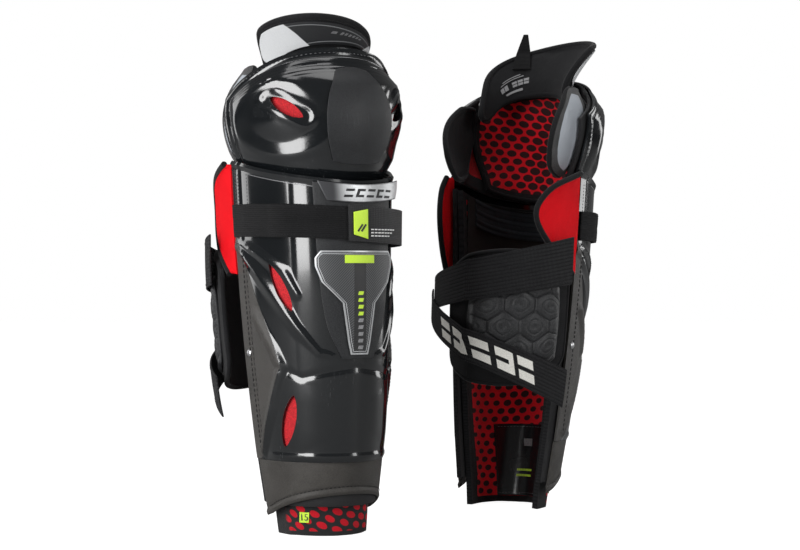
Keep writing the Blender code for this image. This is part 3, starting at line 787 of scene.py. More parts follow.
gloss_black = gloss_shell("gloss_black_shell", False)
shin_gloss = gloss_shell("gloss_black_shin_shell", True)
graphite = matte_plastic("graphite_grain", (0.024, 0.022, 0.020), (0.058, 0.054, 0.049), 0.5, 2400.0, 0.35)
# Light silver grey: the real silver print, and on the lip and rim cords a painted highlight standing in for the
# light along their ridge.
silver_print_and_painted_highlight = speckled_skin(
    "silver_print_and_painted_rim_highlight", (0.20, 0.20, 0.21), 0.32, 900.0, 0.8, (0.12, 0.12, 0.125), (0.34, 0.34, 0.35), 0.1,
    metallic=0.5,
)
thread_black = plain_cloth("heavy_black_thread", (0.016, 0.016, 0.017), 0.5, roughness=0.6)
thread_grey = plain_cloth("grey_thread", (0.10, 0.10, 0.105), 0.5, roughness=0.6)


def stitch_row(name, guard, body, points, thread, pitch=4.0, length=2.6, radius=0.42):
    """Separate stitches of thick thread, evenly spaced along points in mm."""
    points = np.asarray(points, float)
    run = np.concatenate([[0], np.cumsum(np.linalg.norm(np.diff(points, axis=0), axis=1))])
    data = bpy.data.curves.new(f"{guard}_{name}", "CURVE")
    data.dimensions = "3D"
    for start in np.arange(0.5, run[-1] - length, pitch):
        at = start + length * np.array([0.0, 0.3, 0.7, 1.0])
        spots = np.stack([np.interp(at, run, points[:, axis]) for axis in range(3)], axis=1)
        spline = data.splines.new("POLY")
        spline.points.add(3)
        spline.points.foreach_set("co", np.column_stack([spots * MM, np.ones(4)]).ravel())
        spline.points.foreach_set("radius", [0.35, 1.0, 1.0, 0.35])
    data.bevel_depth = radius * MM
    data.bevel_resolution = 1
    data.use_fill_caps = True
    return add_piece(name, data, guard, body, [thread])


def on_cap(angle, height, lift=0.0):
    """A point in mm on the shin cap's outer face."""
    return on_form(SHIN_FORM, angle, height, shin_cap_relief(angle, height) + SHELL + lift)


for guard in "ab":
    shell = panel("moulded_shin_cap", guard, "shin", shin_cap, (170, 160), SHELL,
                  [shin_gloss], {"flange": off_flange})
    cut_vents(shell, guard, SHIN_FORM, (UPPER_VENT, LOWER_VENT))
    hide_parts(f"{guard}_shin_cap")
    for side in (-1, 1):
        word = "outer" if side < 0 else "inner"
        height = np.linspace(SHIN_LENGTH + 10, SHIN_LENGTH - 50, 60)
        for row, angle in enumerate((93.5, 91.2, 82.5)):
            line = on_cap(np.full(60, side * angle), height, 0.1)
            stitch_row(f"{word}_top_stitch_{row}", guard, "shin", line, thread_grey,
                       pitch=3.4, length=2.0, radius=0.32)
        height = np.linspace(SHIN_LENGTH - 62, CUFF_TOP + 8, 160)
        line = on_cap(np.full(160, side * 90.5), height, 0.1)
        stitch_row(f"{word}_flange_stitch", guard, "shin", line, thread_black,
                   pitch=5.0, length=3.4, radius=0.55)
        line = on_cap(np.full(160, side * 88.6), height, 0.1)
        stitch_row(f"{word}_flange_stitch_second", guard, "shin", line, thread_black,
                   pitch=5.0, length=3.0, radius=0.4)
    # A silver-grey cord along the lip: a painted highlight on its raised ridge.
    angle = np.linspace(-80, 80, 120)
    lip = on_cap(angle, shin_top(angle) - 7.5, -0.1)
    cord_round("shin_lip_roll_painted_highlight", guard, "shin", lip, silver_print_and_painted_highlight, 0.45)


# The ankle cuff. A softer graphite plate below the shin cap, thin enough to bend over a skate's tongue,
# with a stitched hem where the liner is turned round its lower edge.
CUFF_BOTTOM = 18.0
CUFF_ARCH = 24.0
CUFF_HEM = 7.0


def cuff_edge(angle):
    return CUFF_BOTTOM + CUFF_ARCH * np.clip(1 - (angle / SHELL_HALF) ** 2, 0, None)


def ankle_cuff(across, up):
    angle = mix(-SHELL_HALF, SHELL_HALF, across)
    bottom = cuff_edge(angle)
    height = mix(bottom, CUFF_TOP - GAP, up)
    hem = 0.9 * np.exp(-(((height - bottom - 2.5) / 1.6) ** 2))
    hem = hem - 0.5 * np.exp(-(((height - bottom - CUFF_HEM) / 1.5) ** 2))
    wave = 0.5 * np.sin(np.radians(angle) * 5) * ease(CUFF_TOP, CUFF_BOTTOM, height)
    return on_form(SHIN_FORM, angle, height, hem + wave)


for guard in "ab":
    cuff = panel("flexible_ankle_cuff", guard, "shin", ankle_cuff, (120, 36), SHELL - 0.4,
                 [graphite])
    soften(cuff, 0.7)
    settle(cuff)
    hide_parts(f"{guard}_ankle_cuff")
    angle = np.linspace(-92, 92, 150)
    line = on_form(SHIN_FORM, angle, cuff_edge(angle) + CUFF_HEM, SHELL - 0.4)
    stitch_row("cuff_hem_stitch", guard, "shin", line, thread_black,
               pitch=4.2, length=2.8, radius=0.4)


# The spine plate and what is fixed on it. A thin matte plate is bonded down the front of the shin cap; a
# shield-shaped badge with silver lines lies low on it, and a slanted silver plaque lies under the upper
# lip.
PLATE = 1.4
BADGE = 1.2
ON_PLATE = SPINE_RISE + SHELL + PLATE + 2.6 * GAP
BADGE_LOW, BADGE_HIGH = SHIN_LENGTH - 162, SHIN_LENGTH - 64
BADGE_OUTLINE = [(0, 7), (0.12, 9), (0.5, 13), (0.70, 27), (0.85, 31), (0.93, 31), (1, 27)]

plate_matte = matte_plastic(
    "matte_black_plate", (0.011, 0.0115, 0.0125), (0.024, 0.025, 0.027), 0.48, 1500.0
)


def spine_plate(across, up):
    half = through([(0, 13), (0.2, 24), (0.55, 29), (1, 31)], up)
    angle = mix(-half, half, across)
    height = mix(SHIN_LENGTH - 166, shin_top(angle) - 3, up)
    return on_form(SHIN_FORM, angle, height, SPINE_RISE + SHELL + 1.3 * GAP)


def badge(across, up):
    half = np.interp(up, *zip(*BADGE_OUTLINE))
    return on_form(SHIN_FORM, mix(-half, half, across), mix(BADGE_LOW, BADGE_HIGH, up), ON_PLATE)


def plaque(across, up):
    angle = mix(mix(-22, -28, up), mix(38, 42, up), across)
    bend = 0.6 * np.sin(np.pi * up)
    return on_form(SHIN_FORM, angle, shin_top(angle) - 2 - 17 * (1 - up), ON_PLATE + bend)


badge_print, tree, skin = shader("badge_print", (0.02, 0.02, 0.02), 0.4)
across, up, edge = lay_of(tree)
from_middle = do_math(tree, "ABSOLUTE", across)
hatching = do_math(
    tree, "SINE", do_math(tree, "MULTIPLY", do_math(tree, "ADD", up, from_middle), 2 * math.pi / 2.6)
)
centre_strip = do_math(tree, "LESS_THAN", from_middle, 6.4)
outline = do_math(tree, "LESS_THAN", edge, 1.7)
past_margin = do_math(tree, "GREATER_THAN", edge, 3.0)
inner_line = do_math(tree, "MULTIPLY", past_margin, do_math(tree, "LESS_THAN", edge, 3.5))
speck = use_group(tree, grain, {"Fineness": 1500.0, "Unevenness": 0.5})
ground = blend_colours(tree, step_to(tree, hatching, -0.3, 0.3), (0.020, 0.021, 0.022), (0.085, 0.088, 0.092))
ground = blend_colours(tree, centre_strip, ground, (0.012, 0.012, 0.013))
silver_tone = blend_colours(tree, speck["Height"], (0.30, 0.31, 0.32), (0.62, 0.63, 0.64))
ground = blend_colours(tree, inner_line, ground, silver_tone)
tree.links.new(blend_colours(tree, outline, ground, silver_tone), skin.inputs["Base Color"])
tree.links.new(do_math(tree, "MULTIPLY", outline, 0.6), skin.inputs["Metallic"])
bump(tree, skin, do_math(tree, "MAXIMUM", outline, do_math(tree, "MULTIPLY", hatching, 0.3)), 0.4)

silver_print, tree, skin = shader("satin_silver_print", (0.5, 0.51, 0.52), 0.34, metallic=0.35)
speck = use_group(tree, grain, {"Fineness": 1900.0, "Unevenness": 0.5})
marks = use_group(tree, scuffs, {"Amount": 1.0})
across, up, edge = lay_of(tree)
tone = blend_colours(tree, speck["Height"], (0.42, 0.43, 0.44), (0.66, 0.67, 0.68))
tone = blend_colours(tree, step_to(tree, edge, 1.6, 0.4), tone, (0.10, 0.10, 0.105))
tone = blend_colours(tree, step_to(tree, across, -24.0, -38.0), tone, (0.055, 0.056, 0.06))
tone = blend_colours(tree, do_math(tree, "MULTIPLY", marks["Scratch"], 0.5), tone, (0.2, 0.2, 0.2))
tree.links.new(tone, skin.inputs["Base Color"])
bump(tree, skin, speck["Height"], 0.12)

lime_print = speckled_skin(
    "lime_rubber_print", (0.50, 0.76, 0.03), 0.5, 1400.0, 0.6, (0.40, 0.64, 0.02), (0.62, 0.86, 0.06), 0.2
)
dark_print = matte_plastic("dark_ink", (0.012, 0.012, 0.013), (0.03, 0.03, 0.032), 0.5, 1500.0, 0.1)


def slanted_block(form, angle, height, wide, tall, lift, slant=0.25, lean=0.0):
    """A place rule for one small slanted block that lies on a form; sizes in mm."""
    def place(across, up):
        x = (across - 0.5) * wide + (up - 0.5) * tall * slant
        z = (up - 0.5) * tall
        turned_x = x * math.cos(lean) - z * math.sin(lean)
        turned_z = x * math.sin(lean) + z * math.cos(lean)
        return on_form(form, angle + turned_x / MM_PER_DEGREE, height + turned_z, lift)
    return place


def blocks_on(name, guard, body, skin, places, wall=0.35, cells=(6, 4)):
    """Several small raised blocks of print, one piece each run of them."""
    first = None
    for place in places:
        block = panel(name, guard, body, place, cells, wall, [skin])
        settle(block)
        if first is None:
            first = block
            continue
        with bpy.context.temp_override(active_object=first, selected_editable_objects=[first, block]):
            bpy.ops.object.join()
    return first


def bar_pairs(form, angle, height, wide, tall, lift, count, slant=0.25, lean=0.0, thick=0.36):
    """Place rules for a row of slanted bars in pairs, every other pair joined by a post."""
    places = []
    step = wide / count
    for number in range(count):
        middle = (number + 0.5) * step - wide / 2
        size = step * 0.74
        post = size * thick
        bar = tall * thick * 0.8
        parts = [(middle, (tall - bar) / 2, size, bar), (middle, (bar - tall) / 2, size, bar)]
        if number % 2:
            parts.append((middle - (size - post) / 2, 0.0, post, tall))
        for x, z, block_wide, block_tall in parts:
            x += z * slant
            turned_x = x * math.cos(lean) - z * math.sin(lean)
            turned_z = x * math.sin(lean) + z * math.cos(lean)
            places.append(
                slanted_block(form, angle + turned_x / MM_PER_DEGREE, height + turned_z,
                              block_wide, block_tall, lift, slant, lean)
            )
    return places


for guard in "ab":
    plate = panel("spine_skin", guard, "shin", spine_plate, (70, 90), PLATE, [plate_matte])
    soften(plate, 0.6)
    settle(plate)
    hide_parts(f"{guard}_spine_plate")
    shield = panel("shield_badge_face", guard, "shin", badge, (48, 90), BADGE, [badge_print])
    soften(shield, 0.4)
    settle(shield)
    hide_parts(f"{guard}_shield_badge")
    brow = panel("brow_plaque_face", guard, "shin", plaque, (60, 16), BADGE, [silver_print])
    soften(brow, 0.5)
    settle(brow)
    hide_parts(f"{guard}_brow_plaque")
    on_badge = ON_PLATE + BADGE + 0.1
    blocks_on("badge_lime_bar", guard, "shin", lime_print,
              [slanted_block(SHIN_FORM, 0, BADGE_HIGH - 8, 31, 7.5, on_badge, 0.0)], 0.4, (16, 4))
    words = [slanted_block(SHIN_FORM, 0.4, BADGE_HIGH - 40 - 6.4 * k, 5.2, 3.4, on_badge, 0.3)
             for k in range(9)]
    blocks_on("badge_lime_print", guard, "shin", lime_print, words[:4], 0.25, (3, 3))
    blocks_on("badge_silver_print", guard, "shin", silver_print_and_painted_highlight, words[4:], 0.25, (3, 3))
    bars = bar_pairs(SHIN_FORM, 9, shin_top(0) - 10.2, 56, 8.0, ON_PLATE + BADGE + 0.35, 5, 0.35)
    blocks_on("plaque_print", guard, "shin", dark_print, bars, 0.3, (4, 3))


# The red wings. A soft red flap is sewn to each side of the shin cap, padded, and bound in black tape.
WING = 5.0
WING_LENGTH = 106.0
red_suede = plain_cloth(
    "red_brushed_cloth", (0.56, 0.0025, 0.007), 0.7, roughness=0.8, sheen=0.0, depth=0.35, uneven=0.45
)


def red_wing(side):
    def place(across, up):
        reach = through([(0, 4), (0.3, 24), (0.6, 34), (0.85, 24), (1, 3)], up) * (1 if side < 0 else 0.4)
        away = across if side > 0 else 1 - across
        height = SHIN_LENGTH + 20 - WING_LENGTH * (1 - up)
        return on_form(SHIN_FORM, side * (SHELL_HALF + 1.2 + reach * away), height, 0.9 + 5 * away)
    return place


for guard in "ab":
    for word, side in (("outer", -1), ("inner", 1)):
        wing = panel(f"{word}_red_wing_pad", guard, "shin", red_wing(side), (30, 60), WING - 1.0,
                     [red_suede])
        soften(wing, 1.8, 3)
        settle(wing, 60)
        plump(wing, 1.2)
        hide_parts(f"{guard}_{word}_red_wing")
        up = np.linspace(0, 1, 60)
        free = red_wing(side)(np.full(60, 1.0 if side > 0 else 0.0), up)
        outward = free * np.array([1, 1, 0]) / np.linalg.norm(free[:, :2], axis=1)[:, None]
        cord_round(f"{word}_wing_binding", guard, "shin", free + outward * WING / 2,
                   binding_tape, 3.1)


# The front strap. Elastic webbing runs round the shin cap and is held down on the inner side by its
# hook-tape end, which peels off. A rubber label is sewn across the join.
STRAP = 1.8
STRAP_WIDTH = 31.0


def strap_middle(angle):
    return SHIN_LENGTH - 39 - 4 * np.sin(np.radians(angle))


def strap_lift(angle):
    return SHELL + 3.2 * GAP + np.clip((62 - np.abs(angle)) / 14, 0, 1) * (SPINE_RISE + PLATE)


def front_strap(across, up):
    angle = mix(-96, 84, across)
    selvedge = -0.35 * np.cos(2 * np.pi * up) ** 8
    return on_form(
        SHIN_FORM, angle, strap_middle(angle) + (up - 0.5) * STRAP_WIDTH, strap_lift(angle) + selvedge
    )


def strap_end(across, up):
    angle = mix(-9, 86, across)
    height = strap_middle(angle) + (up - 0.5) * (STRAP_WIDTH + 3)
    return on_form(SHIN_FORM, angle, height, strap_lift(angle) + STRAP + GAP)


def strap_label(across, up):
    angle = mix(-6, 4, across)
    height = strap_middle(angle) + (up - 0.5) * mix(STRAP_WIDTH - 10, STRAP_WIDTH - 3, across)
    return on_form(SHIN_FORM, angle, height, strap_lift(angle) + 2 * STRAP + 2 * GAP)


webbing = plain_cloth("elastic_webbing", (0.007, 0.007, 0.0075), 1.1, roughness=0.9, rib=0.6, uneven=0.6)
hook_tape = plain_cloth(
    "hook_tape_end", (0.011, 0.011, 0.012), 2.2, roughness=0.6, rib=1.3, depth=0.3, gleam=0.3
)
white_thread = plain_cloth("white_print_thread", (0.62, 0.62, 0.62), 0.6, roughness=0.7, sheen=0.0, depth=0.2)

for guard in "ab":
    band = panel("front_strap_webbing", guard, "shin", front_strap, (160, 14), STRAP, [webbing])
    soften(band, 0.6)
    settle(band)
    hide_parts(f"{guard}_front_strap")
    end = panel("strap_end_tape", guard, "tab", strap_end, (90, 12), STRAP,
                [hook_tape, webbing, webbing])
    soften(end, 0.6)
    settle(end)
    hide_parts(f"{guard}_strap_end")
    label = panel("strap_label_rubber", guard, "tab", strap_label, (14, 14), 1.0, [lime_print])
    soften(label, 0.35)
    settle(label)
    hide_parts(f"{guard}_strap_label")
    middle = strap_middle(-1.0)
    on_label = strap_lift(0) + 2 * STRAP + 2 * GAP + 1.0
    slash = [slanted_block(SHIN_FORM, -0.6 + aside, middle - 4.0, 1.6, 8.0, on_label, 0, -0.6)
             for aside in (-1.2, 1.2)]
    blocks_on("strap_label_mark", guard, "tab", dark_print, slash, 0.3, (3, 5))
    on_end = strap_lift(20) + 2 * STRAP + GAP + 0.1
    rows = [slanted_block(SHIN_FORM, 8 + 3.0 * k, strap_middle(18) - 4.0 - 3.0 * row, 3.0, 1.1, on_end, 0.2)
            for row in range(3) for k in range(8 - row)]
    blocks_on("strap_end_print", guard, "tab", white_thread, rows, 0.2, (2, 2))
    for edge_side in (-1, 1):
        angle = np.linspace(-90, 80, 200)
        line = on_form(SHIN_FORM, angle, strap_middle(angle) + edge_side * (STRAP_WIDTH / 2 - 2.4),
                       strap_lift(angle) + STRAP)
        word = "lower" if edge_side < 0 else "upper"
        stitch_row(f"strap_{word}_stitch", guard, "shin", line[:95], thread_black,
                   pitch=3.2, length=2.2, radius=0.3)


# The knee sling, the rivet and the scuff patch. A ribbed elastic sling crosses behind the kneecap inside
# the guard, a steel rivet holds the calf wrap's fold, and a slick patch inside the ankle takes the rub of
# the skate.
SLING = 2.0
ON_LINER = -3.6 * GAP - FOAM - LINER - BADGE


def knee_sling(across, up):
    angle = mix(-90, 90, across)
    top = knee_bottom(angle) - 12
    folds = 0.5 * np.sin(up * 20 + np.sin(np.radians(angle) * 3))
    return on_form(SHIN_FORM, angle, mix(top - 30, top, up), -4 * GAP - FOAM - LINER - SLING + folds)


def scuff_patch(across, up):
    half = mix(46, 56, up)
    return on_form(SHIN_FORM, mix(-half, half, across), mix(8, 86, up), ON_LINER)


def inner_gusset(across, up):
    across, up = rounded(across, up, 0.06)
    angle = mix(-101, 101, across)
    low = SHIN_LENGTH - 72 - 6 * np.cos(np.radians(angle))
    folds = 0.35 * np.sin(up * 9 + np.radians(angle) * 7) * np.sin(np.pi * up)
    lift = -3 * GAP - FOAM - LINER - 0.9 + folds
    return on_form(SHIN_FORM, angle, mix(low, knee_bottom(angle) - 12, up), lift)


gusset_cloth = plain_cloth("brown_black_gusset", (0.016, 0.013, 0.012), 1.2, roughness=0.85)
sling_knit = plain_cloth("ribbed_sling", (0.020, 0.023, 0.027), 1.6, roughness=0.8, rib=0.3, depth=0.9)
patch_vinyl, tree, skin = shader("slick_black_vinyl", (0.008, 0.008, 0.009), 0.22)
speck = use_group(tree, grain, {"Fineness": 260.0, "Unevenness": 0.8})
marks = use_group(tree, scuffs, {"Amount": 1.0})
tree.links.new(
    blend_colours(tree, marks["Scratch"], (0.008, 0.008, 0.009), (0.06, 0.06, 0.06)), skin.inputs["Base Color"]
)
tree.links.new(
    do_math(tree, "ADD", do_math(tree, "MULTIPLY", marks["Scuff"], 0.12), 0.2), skin.inputs["Roughness"]
)
bump(tree, skin, speck["Height"], 0.12)
steel = speckled_skin(
    "brushed_rivet_steel", (0.5, 0.5, 0.51), 0.28, 3000.0, 0.5, (0.36, 0.36, 0.37), (0.62, 0.62, 0.63), 0.1,
    metallic=1.0,
)

for guard in "ab":
    sling = panel("ribbed_knee_sling", guard, "shin", knee_sling, (120, 24), SLING - 0.6,
                  [sling_knit])
    soften(sling, 0.5)
    settle(sling)
    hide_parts(f"{guard}_knee_sling")
    gusset = panel("inner_gusset", guard, "shin", inner_gusset, (110, 36), 0.7,
                   [gusset_cloth])
    settle(gusset)
    patch = panel("skate_rub_patch", guard, "shin", scuff_patch, (60, 40), BADGE,
                  [patch_vinyl])
    soften(patch, 0.4)
    settle(patch)
    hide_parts(f"{guard}_skate_scuff_patch")
    angle = np.linspace(-54, 54, 90)
    for word, height in (("upper", 83.0), ("lower", 11.0)):
        span = 1.0 if word == "upper" else 0.82
        line = on_form(SHIN_FORM, angle * span, height, ON_LINER - 0.1)
        stitch_row(f"patch_{word}_stitch", guard, "shin", line, thread_grey,
                   pitch=3.6, radius=0.3)
    blocks_on("patch_silver_mark", guard, "shin", silver_print_and_painted_highlight,
              [slanted_block(SHIN_FORM, 0, 66, -20, 8, ON_LINER - 0.5, 0.3)], 0.35, (10, 4))
    bars = [slanted_block(SHIN_FORM, (k - 4) * 3.2, 36 - 6 * row, -3.4, 2.2, ON_LINER - 0.4, 0.2)
            for row in range(2) for k in range(9)]
    blocks_on("patch_lime_print", guard, "shin", lime_print, bars, 0.25, (2, 2))
    head = bpy.data.meshes.new(f"{guard}_rivet_head")
    turned = [(0.0, 1.9), (1.4, 1.8), (2.6, 1.35), (3.5, 0.5), (3.9, 0.0)]
    spots, faces = [], []
    for radius, rise in turned:
        for k in range(24):
            spots.append((radius * math.cos(k * math.pi / 12), radius * math.sin(k * math.pi / 12), rise))
    for ring in range(len(turned) - 1):
        for k in range(24):
            a, b = ring * 24 + k, ring * 24 + (k + 1) % 24
            faces.append([b, a, a + 24, b + 24])
    facing = Vector((-1, 0, 0)).to_track_quat("Z", "Y").to_matrix()
    spot = Vector(on_form(SHIN_FORM, -92.0, 176.0, SHELL + 1.7))
    head.from_pydata([(spot + facing @ Vector(point)) * MM for point in spots], [], faces)
    head.shade_smooth()
    rivet = add_piece("rivet_head", head, guard, "shin", [steel])
    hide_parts(f"{guard}_side_rivet")


# The knee cap. A domed gloss shell that folds back over the shin cap as the knee bends. A bowl is pressed
# in each side round a vent, its rim is rolled and sewn to the foam, and a matte plate is bonded on its
# face.
KNEE_RISE = 3.0
KNEE_MM_PER_DEGREE = 1.45
RIM_SEAM = 4.6
BOWL = (49.0, SHIN_LENGTH + 60, 29.0, 31.0)  # angle, height, half angle, half height
KNEE_VENT = (44, SHIN_LENGTH + 70, -60, 38, 12)


def bowl_share(angle, height):
    """0 at a bowl's middle and 1 at its rim; a bowl is pointed towards the front at its lower end."""
    middle, level, half, tall = BOWL
    drop = (height - level) / tall
    reach = half * (1 - 0.18 * drop)
    return np.sqrt(((np.abs(angle) - middle) / reach) ** 2 + drop**2)


def knee_relief(angle, height):
    """How far the knee cap's face stands off its form."""
    from_side = (KNEE_HALF - np.abs(angle)) * KNEE_MM_PER_DEGREE
    from_edge = np.minimum(np.minimum(knee_top(angle) - height, height - knee_bottom(angle)), from_side)
    share = bowl_share(angle, height)
    face = KNEE_RISE * ease(0, 16, from_edge - 7)
    pressed = 3.0 * ease(1.12, 0.62, share) - 2.4 * ease(0.75, 0.0, share)
    rim = 0.7 * np.exp(-(((share - 1.14) / 0.12) ** 2)) * ease(6, 14, from_edge)
    vent_angle, vent_height = KNEE_VENT[0], KNEE_VENT[1]
    lid_line = [(vent_angle - 11, vent_height - 8), (vent_angle + 11, vent_height + 9)]
    lid = to_line(np.abs(angle), height, lid_line)
    eyelid = 1.3 * np.exp(-(((lid - 9.5) / 3.0) ** 2)) * ease(0.95, 0.8, share)
    groove = -1.1 * np.exp(-(((from_edge - 9.0) / 1.6) ** 2))
    roll = 1.2 * np.exp(-(((from_edge - 5.0) / 2.2) ** 2))
    ribs = 0.35 * np.sin(from_edge * 1.9) * ease(12, 15, from_edge) * ease(27, 22, from_edge)
    ribs = ribs * ease(SHIN_LENGTH + 70, SHIN_LENGTH + 92, height)
    pressed = pressed * np.where(angle > 0, 0.55, 1.0)
    return face - pressed * ease(0, 10, from_edge) + rim + eyelid + groove + roll + ribs


def knee_cap(across, up):
    across, up = rounded(across, up, 0.10)
    angle = mix(-KNEE_HALF, KNEE_HALF, across)
    height = mix(knee_bottom(angle), knee_top(angle), up)
    return on_form(KNEE_FORM, angle, height, knee_relief(angle, height))


def on_knee(angle, height, lift=0.0):
    """A point in mm on the knee cap's outer face."""
    return on_form(KNEE_FORM, angle, height, knee_relief(angle, height) + SHELL + lift)


def knee_face(across, up):
    across, up = rounded(across, up, 0.25)
    half = through([(0, 24), (0.3, 28), (0.7, 25), (1, 14)], up)
    angle = mix(-0.7 * half, half, across)
    height = mix(SHIN_LENGTH + 17, SHIN_LENGTH + 109, up)
    return on_form(KNEE_FORM, angle, height, KNEE_RISE + SHELL + 2.2 * GAP)


for guard in "ab":
    shell = panel("moulded_knee_cap", guard, "knee", knee_cap, (170, 110), SHELL,
                  [gloss_black])
    cut_vents(shell, guard, KNEE_FORM, [KNEE_VENT])
    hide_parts(f"{guard}_knee_cap")
    face = panel("knee_face_skin", guard, "knee", knee_face, (60, 70), PLATE, [plate_matte])
    soften(face, 0.6)
    settle(face)
    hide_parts(f"{guard}_knee_face_plate")
    angle = np.linspace(-88, 88, 220)
    # A silver-grey cord along the rim: a painted highlight on the rolled rim's ridge.
    over_top = on_knee(angle, knee_top(angle) - 8.6, -0.2)
    cord_round("knee_rim_roll_painted_highlight", guard, "knee", over_top[14:-14], silver_print_and_painted_highlight, 0.7)
    sewn = on_knee(angle, knee_top(angle) - RIM_SEAM, 0.15)
    stitch_row("knee_rim_stitch", guard, "knee", sewn[8:-8], thread_grey, pitch=4.5, length=2.2)
    for word, side in (("outer", -1), ("inner", 1)):
        height = np.linspace(SHIN_LENGTH + 20, SHIN_LENGTH + 76, 50)
        line = on_knee(np.full(50, side * (KNEE_HALF - RIM_SEAM / KNEE_MM_PER_DEGREE)), height, 0.15)
        stitch_row(f"knee_{word}_side_stitch", guard, "knee", line, thread_grey,
                   pitch=4.5, length=2.2)


# The knee wings. Padded wings carry on from the knee liner and hug the sides of the knee: smooth grey
# coated cloth on the outer side and black brushed cloth on the inner, both with a wide black binding.
def knee_wing(side):
    near, reach, low, high = (
        (LINER_OUTER + 1.5, 36, SHIN_LENGTH - 8, SHIN_LENGTH + 112)
        if side < 0
        else (LINER_INNER + 1.5, 50, SHIN_LENGTH - 16, SHIN_LENGTH + 96)
    )

    def place(across, up):
        across, up = rounded(across, up, 0.12)
        away = across if side > 0 else 1 - across
        angle = near + away * reach * through([(0, 0.5), (0.4, 1), (0.7, 0.95), (1, 0.4)], up)
        bottom = np.maximum(low, SHIN_LENGTH + 10 - (angle - 108) * 1.7)
        flare = 6 * np.clip((angle - 104) / 30, 0, None)
        crown = 0.5 * np.sin(np.pi * across) * np.sin(np.pi * up)
        return on_form(KNEE_FORM, side * angle, mix(bottom, high, up), KNEE_SINK + flare + 0.2 + crown)

    return place


grey_coated, tree, skin = shader("grey_coated_cloth", (0.40, 0.43, 0.46), 0.5, sheen_weight=0.15)
across, up, edge = lay_of(tree)
threads = use_group(tree, weave, {"Across": across, "Up": up, "Thread": 0.8, "Rib": 1.0})
patches = use_group(tree, grain, {"Fineness": 500.0, "Unevenness": 0.5})
# Painted highlight on the raised threads, times random patches of tone.
level = do_math(tree, "MULTIPLY", threads["Shade"], patches["Shade"])
tone = blend_colours(tree, step_to(tree, level, 0.4, 1.2), (0.20, 0.22, 0.25), (0.36, 0.39, 0.43))
tone = blend_colours(tree, step_to(tree, edge, 9.6, 9.0), tone, (0.012, 0.012, 0.013))
tree.links.new(tone, skin.inputs["Base Color"])
sunk = do_math(tree, "MULTIPLY", step_to(tree, edge, 10.6, 9.4), 1.5)
seam = do_math(tree, "SUBTRACT", threads["Height"], sunk)
bump(tree, skin, seam, 0.35)

for guard in "ab":
    for word, side, cloth in (("outer", -1, grey_coated), ("inner", 1, black_brushed)):
        wing = panel(f"{word}_knee_wing_pad", guard, "knee", knee_wing(side), (44, 64), KNEE_LINER - 0.6,
                     [cloth, cloth, binding_tape])
        settle(wing)
        plump(wing, 0.9)
        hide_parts(f"{guard}_{word}_knee_wing")

        def wing_middle(across, up, side=side):
            """The middle of the wing's wall."""
            outer = knee_wing(side)(across, up)
            outward = outer * np.array([1, 1, 0]) / np.linalg.norm(outer[..., :2], axis=-1)[..., None]
            return outer + outward * (KNEE_LINER - 0.6) / 2

        bind_edge(f"{word}_knee_wing_binding", guard, "knee", wing_middle, binding_tape, 2.9)


# The thigh flap. It is sewn inside the knee cap's upper edge and flares over the thigh: black padded cloth
# with a wide binding, and a stiff facing of dark print with a silver panel at each end. Guard b's has a
# pull tab.
FLAP = 5.0
FLAP_TOP = {"a": SHIN_LENGTH + 157, "b": SHIN_LENGTH + 168}
FLAP_FROM, FLAP_PEAK, FLAP_TO = -86.0, -24.0, 96.0
FLAP_FORM = SHIN_LENGTH + 104
FLAP_FLARE = [
    (SHIN_LENGTH + 42, -32),
    (SHIN_LENGTH + 108, -31),
    (SHIN_LENGTH + 128, -24),
    (SHIN_LENGTH + 162, 0),
]


def flap_at(guard, inset, lift, sink=16.0):
    def place(across, up):
        across, up = rounded(across, up, 0.10)
        narrow = through([(0, 14), (0.45, 0), (0.8, 2), (1, 10)], up) + inset
        angle = mix(FLAP_FROM + narrow, FLAP_TO - narrow, across)
        top = FLAP_TOP[guard] - inset - 44 * ((angle - FLAP_PEAK) / 100) ** 2
        low = knee_top(angle) + (5 if inset else -sink)
        height = mix(low, np.maximum(top, low + 4), up)
        point = on_form(KNEE_FORM, angle, FLAP_FORM, through(FLAP_FLARE, height) + lift)
        point[..., 2] = height
        return point

    return place


facing_print, tree, skin = shader("flap_facing_print", (0.02, 0.02, 0.021), 0.42)
across, up, edge = lay_of(tree)
slant = do_math(tree, "ADD", across, do_math(tree, "MULTIPLY", up, 0.9))
left_panel = step_to(tree, slant, -47.5, -48.5)
right_panel = step_to(tree, do_math(tree, "ADD", across, do_math(tree, "MULTIPLY", up, -0.9)), 34.0, 35.0)
light_panels = do_math(tree, "MAXIMUM", left_panel, right_panel)
fine_line = do_math(tree, "LESS_THAN", do_math(tree, "ABSOLUTE", do_math(tree, "SUBTRACT", edge, 3.4)), 0.5)
speck = use_group(tree, grain, {"Fineness": 1700.0, "Unevenness": 0.6})
dark_tone = blend_colours(tree, speck["Height"], (0.010, 0.010, 0.011), (0.022, 0.023, 0.025))
dark_tone = blend_colours(tree, fine_line, dark_tone, (0.16, 0.165, 0.17))
light_tone = blend_colours(tree, speck["Height"], (0.42, 0.43, 0.44), (0.66, 0.67, 0.68))
tree.links.new(blend_colours(tree, light_panels, dark_tone, light_tone), skin.inputs["Base Color"])
bump(tree, skin, do_math(tree, "ADD", speck["Height"], do_math(tree, "MULTIPLY", light_panels, 0.6)), 0.2)
grey_print = plain_cloth("grey_label_print", (0.20, 0.20, 0.205), 0.8, roughness=0.6, sheen=0.0, depth=0.2)

